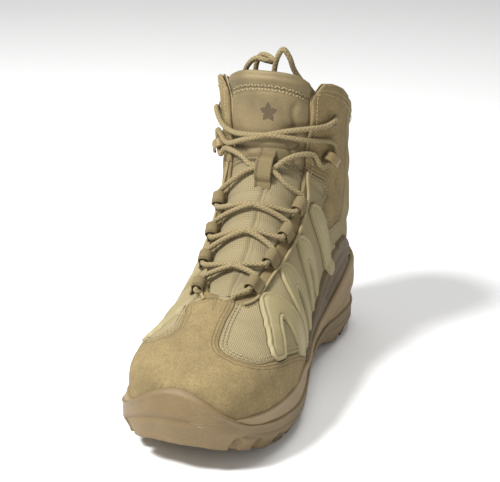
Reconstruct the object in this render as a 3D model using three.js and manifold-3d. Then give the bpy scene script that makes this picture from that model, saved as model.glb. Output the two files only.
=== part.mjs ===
// Right combat boot, mid height, lace up. Millimetres, +X to the toe, +Y to the inner side, +Z up.
import * as THREE from 'three';
import { ParametricGeometry } from 'three/addons/geometries/ParametricGeometry.js';
import { mergeVertices } from 'three/addons/utils/BufferGeometryUtils.js';
import Module from 'manifold-3d';

const wasm = await Module();
wasm.setup();

// ---------- sizes ----------
const SOLE_LENGTH = 306;
const WALL = 2.6;
const GAP = 0.3;
const CLEAR_GAP = 0.4;
const TOE_STATIONS = 2.5;
const TOE_SEAT = 29;
const HEEL_SEAT = 35;
const MID_STATION = 6;
const WIDEST = 0.6;
const MIN_SIZE = 0.3;

// Upper sections, toe to collar. Each lies in a plane that turns from upright at the toe to level
// at the collar: top and bottom point, half widths, feather edge, sideways shift, level of the
// widest place as a share of the height, and the roundness of the inner, outer and lower quarters.
const UPPER_COLUMNS = [
  'topX', 'topZ', 'botX', 'botZ', 'inner', 'outer', 'footInner', 'footOuter',
  'shiftTop', 'shiftBot', 'widestAt', 'roundInner', 'roundOuter', 'roundLow',
];
const UPPER_SECTIONS = [
  [300.0, 38.0, 300.0, 37.0, 0.8, 0.8, 0.0, 0.0, 6, 6, 0.45, 2.0, 2.0, 2.0], // tip
  [298.0, 54.0, 298.5, 29.0, 20.0, 19.0, 16.0, 16.0, 6, 6, 0.46, 2.4, 2.4, 2.0], // nose
  [290.0, 63.0, 291.5, 27.0, 33.0, 33.5, 29.5, 29.0, 5, 5, 0.45, 2.6, 2.6, 2.0], // toe round
  [277.0, 69.0, 278.0, 24.5, 43.0, 44.0, 39.0, 40.0, 4, 4, 0.43, 2.6, 2.6, 2.0], // toe cap
  [260.0, 73.5, 260.0, 22.0, 50.0, 50.5, 46.0, 46.5, 3, 3, 0.41, 2.5, 2.4, 2.0], // toe box
  [240.0, 79.0, 238.0, 20.0, 54.0, 53.5, 49.5, 49.5, 2, 1, 0.38, 2.4, 2.1, 2.0], // toe break
  [217.0, 87.0, 211.0, 19.0, 55.0, 53.5, 51.0, 50.0, 1, 0, 0.34, 2.3, 1.8, 2.0], // ball
  [193.0, 99.0, 182.0, 20.0, 51.5, 51.5, 47.0, 48.0, 1, -1, 0.32, 2.2, 1.7, 2.0], // vamp
  [171.0, 113.0, 150.0, 22.0, 45.5, 49.5, 39.5, 45.0, 1, -1, 0.33, 2.1, 1.75, 2.0], // waist
  [152.0, 128.0, 118.0, 26.0, 41.0, 46.5, 35.0, 41.0, 0, -1, 0.37, 2.1, 1.9, 2.0], // instep
  [139.0, 141.5, 82.0, 29.0, 39.0, 45.5, 33.5, 35.5, 0, 0, 0.43, 2.1, 2.1, 2.1], // heel front
  [129.0, 153.5, 46.0, 31.5, 39.5, 46.5, 34.0, 34.0, 0, 1, 0.50, 2.1, 2.1, 2.2], // heel middle
  [124.0, 163.0, 20.0, 33.5, 39.5, 47.5, 29.0, 28.0, 0, 1, 0.54, 2.1, 2.1, 2.3], // heel curve
  [121.5, 170.0, 9.0, 35.0, 39.5, 48.0, 17.0, 17.0, 0, 1, 0.56, 2.1, 2.1, 2.3], // heel seat
  [120.0, 177.0, 5.5, 38.0, 39.5, 48.5, 0.0, 0.0, 0, 1, 0.56, 2.1, 2.1, 2.3], // heel back
  [118.5, 187.0, 3.5, 64.0, 40.0, 49.0, 0.0, 0.0, 0, 1, 0.55, 2.1, 2.1, 2.3], // counter
  [118.0, 199.0, 8.5, 97.0, 40.5, 50.0, 0.0, 0.0, 0, 1, 0.53, 2.2, 2.2, 2.3], // achilles
  [118.0, 212.0, 13.5, 134.0, 41.0, 50.5, 0.0, 0.0, 0, 0, 0.52, 2.2, 2.2, 2.3], // ankle
  [118.5, 225.0, 14.5, 175.0, 41.5, 51.0, 0.0, 0.0, 0, 0, 0.52, 2.2, 2.2, 2.3], // collar
  [120.0, 244.0, 14.0, 224.0, 41.5, 51.0, 0.0, 0.0, 0, 0, 0.52, 2.2, 2.2, 2.3], // above collar
];
const LAST_STATION = UPPER_SECTIONS.length - 1;
const SEAT_STATION = 14;

// Throat opening: half width on each side as a share of the quarter section.
const THROAT_COLUMNS = ['station', 'inner', 'outer'];
const THROAT_EDGE = [
  [6.45, 0.075, 0.115],
  [6.9, 0.115, 0.165],
  [7.8, 0.165, 0.215],
  [9.0, 0.225, 0.245],
  [10.3, 0.27, 0.265],
  [12.0, 0.275, 0.27],
  [15.0, 0.28, 0.275],
  [17.0, 0.29, 0.28],
  [18.9, 0.3, 0.29],
];

// Collar line seen from the side.
const COLLAR_LINE = [
  [-12, 176], [6, 176], [18, 178], [34, 184], [52, 195], [70, 206], [86, 213], [98, 216],
  [108, 214], [114, 206], [119, 196], [140, 196], [140, 270], [-12, 270],
];

// Sole outline, heel to toe: wall at the top edge and edge at the ground, both sides.
const SOLE_COLUMNS = ['x', 'inner', 'outer', 'groundInner', 'groundOuter'];
const SOLE_OUTLINE = [
  [0, 1, 1, 1, 1],
  [3, 16, -14, 12, -10],
  [10, 28, -26, 22, -20],
  [22, 37, -35, 31, -30],
  [40, 42, -40, 36, -35],
  [65, 42, -41, 37, -36],
  [100, 39, -43, 34, -37],
  [140, 43, -49, 36, -42],
  [180, 53, -55, 45, -48],
  [213, 59, -58.5, 52, -51],
  [240, 58.5, -57.5, 51, -50],
  [263, 54, -53, 48, -47],
  [282, 45.5, -43, 40, -37.5],
  [295, 33.5, -29.5, 28, -25],
  [303, 19, -13, 16, -10],
  [306, 4, 4, 4, 4],
];

// Heights along the sole: tread, top edge of the rubber, top edge of the midsole, inside floor.
const HEIGHT_COLUMNS = ['x', 'tread', 'rubber', 'foam', 'floor'];
const SOLE_HEIGHTS = [
  [0, 4.5, 25, 64, 16],
  [12, 0, 25, 65, 16],
  [40, 0, 24, 62, 15],
  [62, 0, 25, 54, 14.5],
  [76, 3, 25, 48, 14],
  [88, 9, 25, 44, 14.5],
  [110, 10, 23, 38, 14.5],
  [140, 8, 20, 34, 13],
  [165, 1.5, 17.5, 32, 10],
  [178, 0, 17.5, 32, 9],
  [213, 0, 20, 32, 9],
  [230, 0, 22, 33, 9.5],
  [248, 3, 24.5, 35, 11.5],
  [263, 7, 27.5, 36.5, 15],
  [275, 11, 31, 38, 18],
  [285, 14.5, 35.5, 38.5, 21],
  [292, 17, 41.5, 39, 23.5],
  [298, 19, 49, 39, 25.5],
  [303, 20.5, 57, 39, 27],
  [306, 21, 60, 39, 27.5],
];

// ---------- helpers ----------
function cubic(a, b, c, d, f) {
  return 0.5 * (2 * b + (c - a) * f + (2 * a - 5 * b + 4 * c - d) * f * f
    + (3 * b - a - 3 * c + d) * f * f * f);
}

// Smooth reading of a table at a fractional row number.
function readTable(rows, columns, at) {
  const top = rows.length - 1;
  const t = Math.min(Math.max(at, 0), top - 1e-9);
  const i = Math.floor(t);
  const row = (k) => rows[Math.min(Math.max(k, 0), top)];
  const out = {};
  columns.forEach((name, c) => {
    out[name] = cubic(row(i - 1)[c], row(i)[c], row(i + 1)[c], row(i + 2)[c], t - i);
  });
  return out;
}

// Straight reading of a table by the value in its first column.
function lookUp(rows, columns, value) {
  const last = rows.length - 1;
  const v = Math.min(Math.max(value, rows[0][0]), rows[last][0]);
  let i = 0;
  while (i < last - 1 && rows[i + 1][0] < v) i += 1;
  const f = (v - rows[i][0]) / (rows[i + 1][0] - rows[i][0]);
  const out = {};
  columns.forEach((name, c) => { out[name] = rows[i][c] + (rows[i + 1][c] - rows[i][c]) * f; });
  return out;
}

const power = (base, exponent) => Math.abs(base) ** exponent;
const heightsAt = (x) => lookUp(SOLE_HEIGHTS, HEIGHT_COLUMNS, x);

// Point on the upper: station along the boot, share v from the top line (0) to the feather edge (1),
// side +1 inner or -1 outer, and a distance outwards.
function upperPoint(station, v, side, out = 0) {
  const r = readTable(UPPER_SECTIONS, UPPER_COLUMNS, station);
  const half = Math.max((side > 0 ? r.inner : r.outer) + out, MIN_SIZE);
  const foot = Math.max(side > 0 ? r.footInner : r.footOuter, 0);
  const dx = r.topX - r.botX;
  const dz = r.topZ - r.botZ;
  const height = Math.hypot(dx, dz);
  const ex = dx / height;
  const ez = dz / height;
  const round = side > 0 ? r.roundInner : r.roundOuter;
  let across;
  let up;
  if (v <= WIDEST) {
    const a = (v / WIDEST) * Math.PI / 2;
    across = power(Math.sin(a), 2 / round);
    up = r.widestAt + (1 - r.widestAt) * power(Math.cos(a), 2 / round);
  } else {
    const a = ((v - WIDEST) / (1 - WIDEST)) * Math.PI / 2;
    const floor = Math.min(Math.max((foot + (foot > 0 ? out : 0)) / half, 0), 1);
    across = floor + (1 - floor) * power(Math.cos(a), 2 / r.roundLow);
    up = r.widestAt * (1 - power(Math.sin(a), 2 / r.roundLow));
  }
  const tall = Math.max(height + 2 * out, MIN_SIZE);
  const toeShift = out * Math.max(0, 1 - station / TOE_STATIONS);
  return new THREE.Vector3(
    r.botX - ex * out + ex * tall * up + toeShift,
    r.shiftBot + (r.shiftTop - r.shiftBot) * up + side * half * across,
    r.botZ - ez * out + ez * tall * up,
  );
}

// Closed skin over a grid of rings; the first and last ring close to their middle points.
function ringSkin(ringPoint, around, rings) {
  const middle = (ring) => {
    const m = new THREE.Vector3();
    for (let k = 0; k < around; k += 1) m.add(ringPoint(k, ring));
    return m.multiplyScalar(1 / around);
  };
  const stacks = rings + 1;
  const first = middle(0);
  const last = middle(rings - 1);
  return new ParametricGeometry((u, w, target) => {
    const level = Math.round(w * stacks);
    const k = Math.round(u * around) % around;
    if (level === 0) target.copy(first);
    else if (level === stacks) target.copy(last);
    else target.copy(ringPoint(k, level - 1));
  }, around, stacks);
}

// three.js geometry to a manifold solid, faces turned outwards.
function toSolid(geometry) {
  const bare = geometry.clone();
  bare.deleteAttribute('normal');
  bare.deleteAttribute('uv');
  const merged = mergeVertices(bare, 1e-4);
  const index = merged.index.array;
  const p = merged.attributes.position.array;
  const tris = [];
  let volume = 0;
  for (let i = 0; i < index.length; i += 3) {
    const [a, b, c] = [index[i], index[i + 1], index[i + 2]];
    if (a !== b && b !== c && a !== c) {
      tris.push(a, b, c);
      volume += p[a * 3] * (p[b * 3 + 1] * p[c * 3 + 2] - p[b * 3 + 2] * p[c * 3 + 1])
        - p[a * 3 + 1] * (p[b * 3] * p[c * 3 + 2] - p[b * 3 + 2] * p[c * 3])
        + p[a * 3 + 2] * (p[b * 3] * p[c * 3 + 1] - p[b * 3 + 1] * p[c * 3]);
    }
  }
  if (volume < 0) {
    for (let i = 0; i < tris.length; i += 3) [tris[i], tris[i + 1]] = [tris[i + 1], tris[i]];
  }
  return new wasm.Manifold(new wasm.Mesh({
    numProp: 3,
    vertProperties: new Float32Array(p),
    triVerts: new Uint32Array(tris),
  }));
}

function toGeometry(solid) {
  const mesh = solid.getMesh();
  const geometry = new THREE.BufferGeometry();
  geometry.setAttribute('position', new THREE.BufferAttribute(mesh.vertProperties, 3));
  geometry.setIndex(new THREE.BufferAttribute(mesh.triVerts, 1));
  geometry.computeVertexNormals();
  return geometry;
}

// ---------- shared forms ----------
const RING_HALF = 13;

// The whole boot form as one closed skin, grown or shrunk by a distance.
function upperForm(out, from, to, rings) {
  const around = 2 * RING_HALF;
  return toSolid(ringSkin((k, ring) => {
    const station = from + ((to - from) * ring) / (rings - 1);
    const inner = k < RING_HALF;
    const step = inner ? k : around - 1 - k;
    return upperPoint(station, step / (RING_HALF - 1), inner ? 1 : -1, out);
  }, around, rings));
}

// Closed slab over a stack of outlines; its flat ends close on the line midway between the sides.
function slabSkin(point, perSide, levels) {
  const around = 2 * perSide;
  const stacks = levels + 1;
  return toSolid(new ParametricGeometry((u, w, target) => {
    const row = Math.round(w * stacks);
    const k = Math.round(u * around) % around;
    if (row > 0 && row < stacks) {
      target.copy(point(k, row - 1));
      return;
    }
    const level = row === 0 ? 0 : levels - 1;
    target.copy(point(k, level)).add(point((around - k) % around, level)).multiplyScalar(0.5);
  }, around, stacks));
}

// Point of a closed outline moved inwards, square to the outline. The outline runs from the heel
// along the inner side to the toe and back along the outer side.
function insetPoint(outline, at, turn, inset) {
  const step = 0.04;
  const wrap = (t) => ((t % turn) + turn) % turn;
  const here = outline(wrap(at));
  const ahead = outline(wrap(at + step)).sub(outline(wrap(at - step))).setZ(0).normalize();
  here.x += ahead.y * inset;
  here.y -= ahead.x * inset;
  return here;
}

// A slab with the sole's outline. Each level has an inset, a share of ground edge and a height.
function soleSlab(levels, perSide = 26) {
  const rows = SOLE_OUTLINE.length - 1;
  const outline = (ground) => (t) => {
    const inner = t <= rows;
    const r = readTable(SOLE_OUTLINE, SOLE_COLUMNS, inner ? t : 2 * rows - t);
    const wall = inner ? r.inner : r.outer;
    const edge = inner ? r.groundInner : r.groundOuter;
    return new THREE.Vector3(r.x, wall + (edge - wall) * ground, 0);
  };
  return slabSkin((k, level) => {
    const { inset, ground, height } = levels[level];
    const p = insetPoint(outline(ground), (k * rows) / perSide, 2 * rows, inset);
    return p.setZ(height(p.x));
  }, perSide, levels.length);
}

// A slab inside the feather edge of the upper: inset, and the heights above the feather edge.
function footSlab(inset, low, high) {
  const perSide = 20;
  const outline = (t) => {
    const inner = t <= SEAT_STATION;
    const station = inner ? SEAT_STATION - t : t - SEAT_STATION;
    const r = readTable(UPPER_SECTIONS, UPPER_COLUMNS, station);
    const reach = Math.max(inner ? r.footInner : r.footOuter, 0);
    const seat = Math.min(r.botZ, station < MID_STATION ? TOE_SEAT : HEEL_SEAT);
    return new THREE.Vector3(r.botX, r.shiftBot + (inner ? reach : -reach), seat);
  };
  return slabSkin((k, level) => {
    const p = insetPoint(outline, (k * SEAT_STATION) / perSide, 2 * SEAT_STATION, inset);
    return p.setZ(p.z + (level ? high : low));
  }, perSide, 2);
}

// A flat outline in the XZ plane made thick across the boot.
function sideBlock(outline, from, to) {
  const shape = new THREE.Shape(outline.map(([x, z]) => new THREE.Vector2(x, z)));
  const geometry = new THREE.ExtrudeGeometry(shape, { depth: to - from, bevelEnabled: false });
  geometry.rotateX(Math.PI / 2);
  geometry.translate(0, to, 0);
  return toSolid(geometry);
}

// ---------- upper ----------
const FORM_RINGS = 24;
const grownUpper = (out) => upperForm(out, 0, LAST_STATION, FORM_RINGS);
const outerForm = grownUpper(0);
const innerForm = grownUpper(-WALL);
const clearForm = grownUpper(GAP);

// Wedge through the throat, from the vamp bar to above the collar.
function throatCutter() {
  const reach = 16;
  const rings = 22;
  const start = THROAT_EDGE[0][0];
  return toSolid(ringSkin((k, ring) => {
    const station = start + ((LAST_STATION - start) * ring) / (rings - 1);
    const r = lookUp(THROAT_EDGE, THROAT_COLUMNS, station);
    if (k === 0) return upperPoint(station, r.inner, 1, -reach);
    if (k === 1) return upperPoint(station, r.inner, 1, reach);
    if (k === 2) return upperPoint(station, 0, 1, reach);
    if (k === 3) return upperPoint(station, r.outer, -1, reach);
    return upperPoint(station, r.outer, -1, -reach);
  }, 5, rings));
}

// Local axes on the upper: X towards the lace line, Y up the boot, Z outwards.
function seatAt({ station, v, side }, lift = 0) {
  const step = 0.05;
  const here = upperPoint(station, v, side);
  const along = upperPoint(station + step, v, side).sub(upperPoint(station - step, v, side));
  const inward = upperPoint(station, v - 0.01, side).sub(upperPoint(station, v + 0.01, side));
  const normal = new THREE.Vector3().crossVectors(inward, along).multiplyScalar(-side).normalize();
  inward.normalize();
  along.crossVectors(normal, inward).normalize();
  here.addScaledVector(normal, lift);
  return new THREE.Matrix4().makeBasis(inward, along, normal).setPosition(here);
}

const EYELET_SEATS = {
  medial: { station: 16.9, v: 0.475, side: 1 },
  lateral: { station: 16.9, v: 0.45, side: -1 },
};
const HOOK_SEATS = {
  medial: { station: 15.1, v: 0.425, side: 1 },
  lateral: { station: 15.1, v: 0.41, side: -1 },
};
const LOOP_SEATS = {
  medial: [[6.75, 0.11], [7.8, 0.16], [8.95, 0.215], [10.3, 0.255]],
  lateral: [[6.6, 0.165], [7.75, 0.215], [8.8, 0.24], [10.1, 0.255]],
};

const EYELET_HOLE = 2.3;
function eyeletHole(seat) {
  const depth = 16;
  const hole = new THREE.CylinderGeometry(EYELET_HOLE, EYELET_HOLE, depth, 10);
  hole.rotateX(Math.PI / 2);
  return toSolid(hole.applyMatrix4(seatAt(seat)));
}

const LASTING_MARGIN = 5;
const upper = outerForm
  .subtract(innerForm)
  .subtract(sideBlock(COLLAR_LINE, -90, 90))
  .subtract(throatCutter())
  .subtract(footSlab(LASTING_MARGIN, -6, WALL + 3))
  .subtract(eyeletHole(EYELET_SEATS.medial))
  .subtract(eyeletHole(EYELET_SEATS.lateral));

// ---------- sole ----------
const FOAM_INSET = 5.5;
const BAND_INSET = 0.9;
const zTread = (x) => heightsAt(x).tread;
const zRubber = (x) => heightsAt(x).rubber;
const zFoam = (x) => heightsAt(x).foam;
const zFloor = (x) => heightsAt(x).floor;

const rubberBlock = soleSlab([
  { inset: 0, ground: 1, height: zTread },
  { inset: 0, ground: 0.55, height: (x) => zTread(x) + 3.5 },
  { inset: 0, ground: 0, height: (x) => zTread(x) + 0.5 * (zRubber(x) - zTread(x)) },
  { inset: 0, ground: 0, height: zRubber },
]);
const rubberShadow = soleSlab([
  { inset: 0, ground: 0, height: () => -5 },
  { inset: 0, ground: 0, height: (x) => zRubber(x) + GAP },
]);
const foamCore = (grow) => soleSlab([
  { inset: FOAM_INSET - grow, ground: 0, height: (x) => zFloor(x) - grow },
  { inset: FOAM_INSET - grow, ground: 0, height: (x) => Math.min(zRubber(x) + 4, zFoam(x), 34) + grow },
]);
const foamBand = soleSlab([
  { inset: BAND_INSET, ground: 0, height: () => 2 },
  { inset: BAND_INSET, ground: 0, height: (x) => zFoam(x) - 1.5 },
  { inset: BAND_INSET + 1.2, ground: 0, height: zFoam },
]);
const midsole = foamCore(0).add(foamBand.subtract(rubberShadow)).subtract(clearForm);

// Grooves between the lugs: place along the sole, width, turn in degrees, from and to across it.
const GROOVE_DEPTH = 4;
const GROOVES = [
  [8, 4, 0, -60, 60], [22, 4, 8, 3, 60], [22, 4, -8, -60, -3], [50, 5, -10, -60, 60],
  [176, 5, 12, 3, 75], [176, 5, -12, -75, -3], [192, 5, 12, 12, 75], [190, 5, -12, -75, -12],
  [216, 6, 10, 2, 75], [218, 5, -10, -75, -2], [236, 5, 8, 12, 75], [236, 5, -8, -75, -12],
  [253, 5, 6, 2, 75], [253, 5, -6, -75, -2], [270, 4.5, 0, -75, 75], [286, 4, 0, -75, 75],
];
function grooveSolid([x, width, turn, from, to]) {
  const top = zTread(x) + GROOVE_DEPTH;
  const base = -2;
  const box = new THREE.BoxGeometry(width, to - from, top - base);
  box.translate(0, (from + to) / 2, (top + base) / 2);
  box.rotateZ(THREE.MathUtils.degToRad(turn));
  return toSolid(box.translate(x, 0, 0));
}
const centreGroove = toSolid(new THREE.BoxGeometry(34, 5, 2 * GROOVE_DEPTH - 1).translate(237, 4, 0));
const outsole = GROOVES.reduce(
  (sole, groove) => sole.subtract(grooveSolid(groove)),
  rubberBlock.subtract(foamCore(GAP)).subtract(clearForm).subtract(centreGroove),
);

// ---------- insole ----------
const INSOLE_LIFT = WALL + 0.9;
const insole = footSlab(WALL + CLEAR_GAP + 1.9, INSOLE_LIFT, INSOLE_LIFT + 4)
  .add(footSlab(LASTING_MARGIN + 2 * CLEAR_GAP, GAP, INSOLE_LIFT + 1));

// ---------- tongue ----------
const TONGUE_THICK = 6;
const TONGUE_GAP = 0.9;
const TONGUE_FROM = 5.2;
const TONGUE_TO = 18.15;
const TONGUE_EDGE = 0.36;
function tongueSolid() {
  const rings = 25;
  const across = 8;
  const around = 2 * across;
  return toSolid(ringSkin((k, ring) => {
    const station = TONGUE_FROM + ((TONGUE_TO - TONGUE_FROM) * ring) / (rings - 1);
    const front = k < across;
    const t = front ? (k / (across - 1)) * 2 - 1 : ((around - 1 - k) / (across - 1)) * 2 - 1;
    const opening = lookUp(THROAT_EDGE, THROAT_COLUMNS, station);
    const side = t < 0 ? -1 : 1;
    const free = (side > 0 ? opening.inner : opening.outer) / TONGUE_EDGE;
    const inThroat = station > 6.9 && Math.abs(t) < free - 0.2;
    const skin = -(WALL + TONGUE_GAP) + (inThroat ? 1.8 : 0);
    const depth = front ? skin : -(WALL + TONGUE_GAP) - TONGUE_THICK * (1 - 0.6 * t * t);
    return upperPoint(station, Math.abs(t) * TONGUE_EDGE, side, depth);
  }, around, rings));
}
const tongue = tongueSolid();

// ---------- heel counter ----------
const COUNTER_PROUD = 2.3;
const COUNTER_LINE = [
  [158, 36], [122, 58], [94, 77], [62, 86], [30, 92], [-8, 94], [-8, 10], [158, 10],
];
const foamShadow = soleSlab([
  { inset: -1, ground: 0, height: () => -5 },
  { inset: -1, ground: 0, height: (x) => zFoam(x) + 2 * GAP },
]);
const counterCut = sideBlock(COUNTER_LINE, -90, 90).subtract(foamShadow);
const heelCounter = grownUpper(COUNTER_PROUD).subtract(clearForm).intersect(counterCut);

// ---------- hardware ----------
function eyeletRing(seat) {
  const inner = EYELET_HOLE + 0.2;
  const outer = 5;
  const high = 1.3;
  const profile = [
    [inner, 0], [outer, 0], [outer - 0.8, high], [inner + 0.5, high], [inner, 0],
  ].map(([r, z]) => new THREE.Vector2(r, z));
  const ring = new THREE.LatheGeometry(profile, 10);
  ring.rotateX(Math.PI / 2);
  return toSolid(ring.applyMatrix4(seatAt(seat, 0.75)));
}

const HOOK_WIDTH = 7;
const HOOK_OUTLINE = [
  [-5.5, 0], [4.5, 0], [6.1, 1.3], [6.6, 4.2], [5.6, 7.0], [2, 8.7], [-3, 8.9], [-5.6, 7.6],
  [-5.4, 6.3], [-2, 7.0], [1.8, 6.6], [3.5, 5.2], [3.5, 2.6], [2.6, 1.5], [-5.5, 1.3],
];
function speedHook(seat) {
  const shape = new THREE.Shape(HOOK_OUTLINE.map(([x, y]) => new THREE.Vector2(x, y)));
  const hook = new THREE.ExtrudeGeometry(shape, { depth: HOOK_WIDTH, bevelEnabled: false });
  hook.translate(0, 0, -HOOK_WIDTH / 2);
  hook.rotateX(Math.PI / 2);
  return toSolid(hook.applyMatrix4(seatAt(seat, 0.75)));
}

// Folded webbing: an eye that the lace runs through and a tail that lies on the upper.
const LACE_SIZE = 4;
const EYE_CLEAR = 1.4;
const WEB_THICK = 1.2;
const LOOP_WIDTH = 9;
const EYE_RADIUS = LACE_SIZE / 2 + EYE_CLEAR;
const LACE_LIFT = EYE_RADIUS + WEB_THICK + GAP + 0.3;
const LOOP_TAIL = 9;
function laceLoop(station, v, side) {
  const outer = EYE_RADIUS + WEB_THICK;
  const shape = new THREE.Shape();
  shape.moveTo(-LOOP_TAIL, -outer);
  shape.lineTo(0, -outer);
  shape.absarc(0, 0, outer, -Math.PI / 2, Math.PI * 0.62, false);
  shape.lineTo(-LOOP_TAIL, -outer + 2 * WEB_THICK);
  const eye = new THREE.Path();
  eye.absarc(0, 0, EYE_RADIUS, 0, 2 * Math.PI, false);
  shape.holes.push(eye);
  const web = new THREE.ExtrudeGeometry(shape, {
    depth: LOOP_WIDTH, bevelEnabled: false, curveSegments: 5,
  });
  web.translate(0, 0, -LOOP_WIDTH / 2);
  web.rotateX(Math.PI / 2);
  return toSolid(web.applyMatrix4(seatAt({ station, v, side }, LACE_LIFT)));
}

const LACE_START = { medial: [6.2, 0.045, 3.0], lateral: [6.35, -0.15, 2.6] };
// Station and height of the middle of each crossing, from the lowest to the one in the keeper.
const LACE_CROSSINGS = [[7.2, 3.2], [8.4, 3.2], [9.4, 3.2], [11.35, 1.6]];
// Beside the keeper, between it and the fourth eyes: station, share across and lift.
const BY_KEEPER = [[10.75, 0.16, 3.6], [11.15, 0.075, 2.6]];
const EYELET_LIFT = 5;
const HOOK_PATH = [[6.5, -10], [0.9, -5.6], [0.4, 0], [0.9, 5.6], [6.5, 10]];
const HOOK_LIFT = 4.9;
// Strands from the keeper to the hook and from the hook to the far eyelet, named by the hook's side:
// station, share across (inner side positive) and lift.
const TO_HOOK = {
  medial: [[11.5, 0.075, 2.6], [12.25, 0.13, 3.2], [13.3, 0.2, 3.6], [14.3, 0.3, 4]],
  lateral: [[11.5, -0.075, 2.6], [12.15, -0.13, 3.2], [13.0, -0.2, 3.6], [14.1, -0.3, 4]],
};
const TO_EYELET = {
  medial: [[14.75, 0.22, 3.6], [14.25, 0.05, 3.4], [14.2, -0.08, 3.2], [14.8, -0.22, 3.2],
    [15.8, -0.34, 3.8]],
  lateral: [[14.4, -0.28, 3.6], [13.9, -0.14, 3.4], [14.1, -0.02, 3.2], [14.85, 0.13, 3.2],
    [15.6, 0.26, 3.6], [16.3, 0.38, 4.2]],
};

// Lace: each half runs from its hole by the vamp bar through its own side's first eye, then from
// side to side up to the webbing keeper, round the far hook and back over to its own top eyelet.
const EYE_HALF = LOOP_WIDTH / 2 + 2;

function acrossPoint(station, across, lift) {
  return upperPoint(station, Math.abs(across), across < 0 ? -1 : 1, lift);
}

// Points through one webbing eye, entering below it and leaving above it.
function eyePoints(side, index) {
  const [station, v] = LOOP_SEATS[side][index];
  const seat = seatAt({ station, v, side: side === 'medial' ? 1 : -1 }, LACE_LIFT);
  const here = new THREE.Vector3().setFromMatrixPosition(seat);
  const up = new THREE.Vector3().setFromMatrixColumn(seat, 1);
  if (up.z < 0) up.negate();
  const inward = new THREE.Vector3().setFromMatrixColumn(seat, 0);
  return [-1, 0, 1].map((end) => (
    here.clone().addScaledVector(up, end * EYE_HALF).addScaledVector(inward, Math.abs(end) * 0.2)
  ));
}

// Points behind the neck of a hook, from below it to above it.
function hookPoints(side) {
  const seat = seatAt(HOOK_SEATS[side], HOOK_LIFT);
  const here = new THREE.Vector3().setFromMatrixPosition(seat);
  const up = new THREE.Vector3().setFromMatrixColumn(seat, 1);
  if (up.z < 0) up.negate();
  const inward = new THREE.Vector3().setFromMatrixColumn(seat, 0);
  return HOOK_PATH.map(([x, y]) => (
    here.clone().addScaledVector(inward, x).addScaledVector(up, y)
  ));
}

function lacePath(side) {
  const far = side === 'medial' ? 'lateral' : 'medial';
  const points = [acrossPoint(...LACE_START[side])];
  [side, far, side, far].forEach((at, i) => {
    points.push(...eyePoints(at, i));
    if (i === LACE_CROSSINGS.length - 1) {
      const hand = at === 'medial' ? 1 : -1;
      BY_KEEPER.forEach(([s, v, lift]) => points.push(acrossPoint(s, hand * v, lift)));
    }
    points.push(acrossPoint(LACE_CROSSINGS[i][0], 0, LACE_CROSSINGS[i][1]));
  });
  TO_HOOK[side].forEach((place) => points.push(acrossPoint(...place)));
  points.push(...hookPoints(side));
  TO_EYELET[side].forEach((place) => points.push(acrossPoint(...place)));
  const ring = EYELET_SEATS[far];
  points.push(acrossPoint(ring.station, ring.side * (ring.v - 0.02), EYELET_LIFT));
  return points;
}

function laceTube(points, steps) {
  const section = new THREE.Shape();
  section.absarc(0, 0, LACE_SIZE / 2, 0, 2 * Math.PI, false);
  return toSolid(new THREE.ExtrudeGeometry(section, {
    steps,
    curveSegments: 4,
    bevelEnabled: false,
    extrudePath: new THREE.CatmullRomCurve3(points, false, 'centripetal'),
  }));
}

const LACE_STEPS = 56;
const laceCrossings = laceTube(lacePath('medial'), LACE_STEPS)
  .add(laceTube(lacePath('lateral'), LACE_STEPS));

// Keeper: a webbing bridge on the tongue over the crossing laces.
const KEEPER_STATION = 11.35;
const KEEPER_WIDTH = 12;
const KEEPER_OUTLINE = [
  [-12.5, 0.1], [-12.5, 1.3], [-9.8, 1.3], [-6.8, 5.4], [6.8, 5.4], [9.8, 1.3], [12.5, 1.3],
  [12.5, 0.1], [8.8, 0.1], [5.9, 4.2], [-5.9, 4.2], [-8.8, 0.1],
];
function keeperSolid() {
  const shape = new THREE.Shape(KEEPER_OUTLINE.map(([x, y]) => new THREE.Vector2(x, y)));
  const web = new THREE.ExtrudeGeometry(shape, { depth: KEEPER_WIDTH, bevelEnabled: false });
  web.translate(0, 0, -KEEPER_WIDTH / 2);
  web.rotateX(Math.PI / 2);
  web.rotateZ(Math.PI / 2);
  return toSolid(web.applyMatrix4(seatAt({ station: KEEPER_STATION, v: 0.01, side: 1 })));
}

// Lace ends, in millimetres: from behind each top eyelet, up over the back of the tongue as a tall
// loop on the inner side and a low double fold on the outer side, and down inside.
const LACE_END_PATHS = {
  medial: [
    [86, 33.5, 186], [88.5, 27, 200], [94, 19, 214], [98.5, 13, 225], [102, 10.5, 235],
    [104, 6.5, 241], [103, 2, 235], [101.5, -1, 225], [101, -2, 212], [99, -1, 199], [97, 1, 187],
  ],
  lateral: [
    [88, -41, 187], [89.5, -34.5, 201], [93, -28.5, 214], [96.5, -23.5, 225], [99, -16, 231.5],
    [99.5, -8, 230.5], [95.5, -4.5, 229], [91, -8, 231], [88, -16, 231.5], [85.5, -21, 223],
    [83.5, -22, 208], [82, -21, 194],
  ],
};
const LACE_END_STEPS = 17;
const laceEnd = (side) => laceTube(
  LACE_END_PATHS[side].map(([x, y, z]) => new THREE.Vector3(x, y, z)),
  LACE_END_STEPS,
);

// ---------- scene ----------
const boot = new THREE.Group();
const body = new THREE.Group();
body.position.x = -SOLE_LENGTH / 2;
boot.add(body);

const finish = (color, roughness, metalness = 0) => (
  () => new THREE.MeshStandardMaterial({ color, roughness, metalness })
);
const rubber = finish('#9c7f55', 0.75);
const foam = finish('#b3945f', 0.8);
const suede = finish('#ab8e5c', 0.95);
const textile = finish('#b09a68', 0.95);
const lining = finish('#bfae86', 0.95);
const webbing = finish('#a38e60', 0.95);
const paint = finish('#8f7348', 0.5, 0.3);
const steel = finish('#8a7452', 0.4, 0.6);

function place(name, solid, material) {
  const mesh = new THREE.Mesh(toGeometry(solid), material());
  mesh.name = name;
  body.add(mesh);
}

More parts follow.
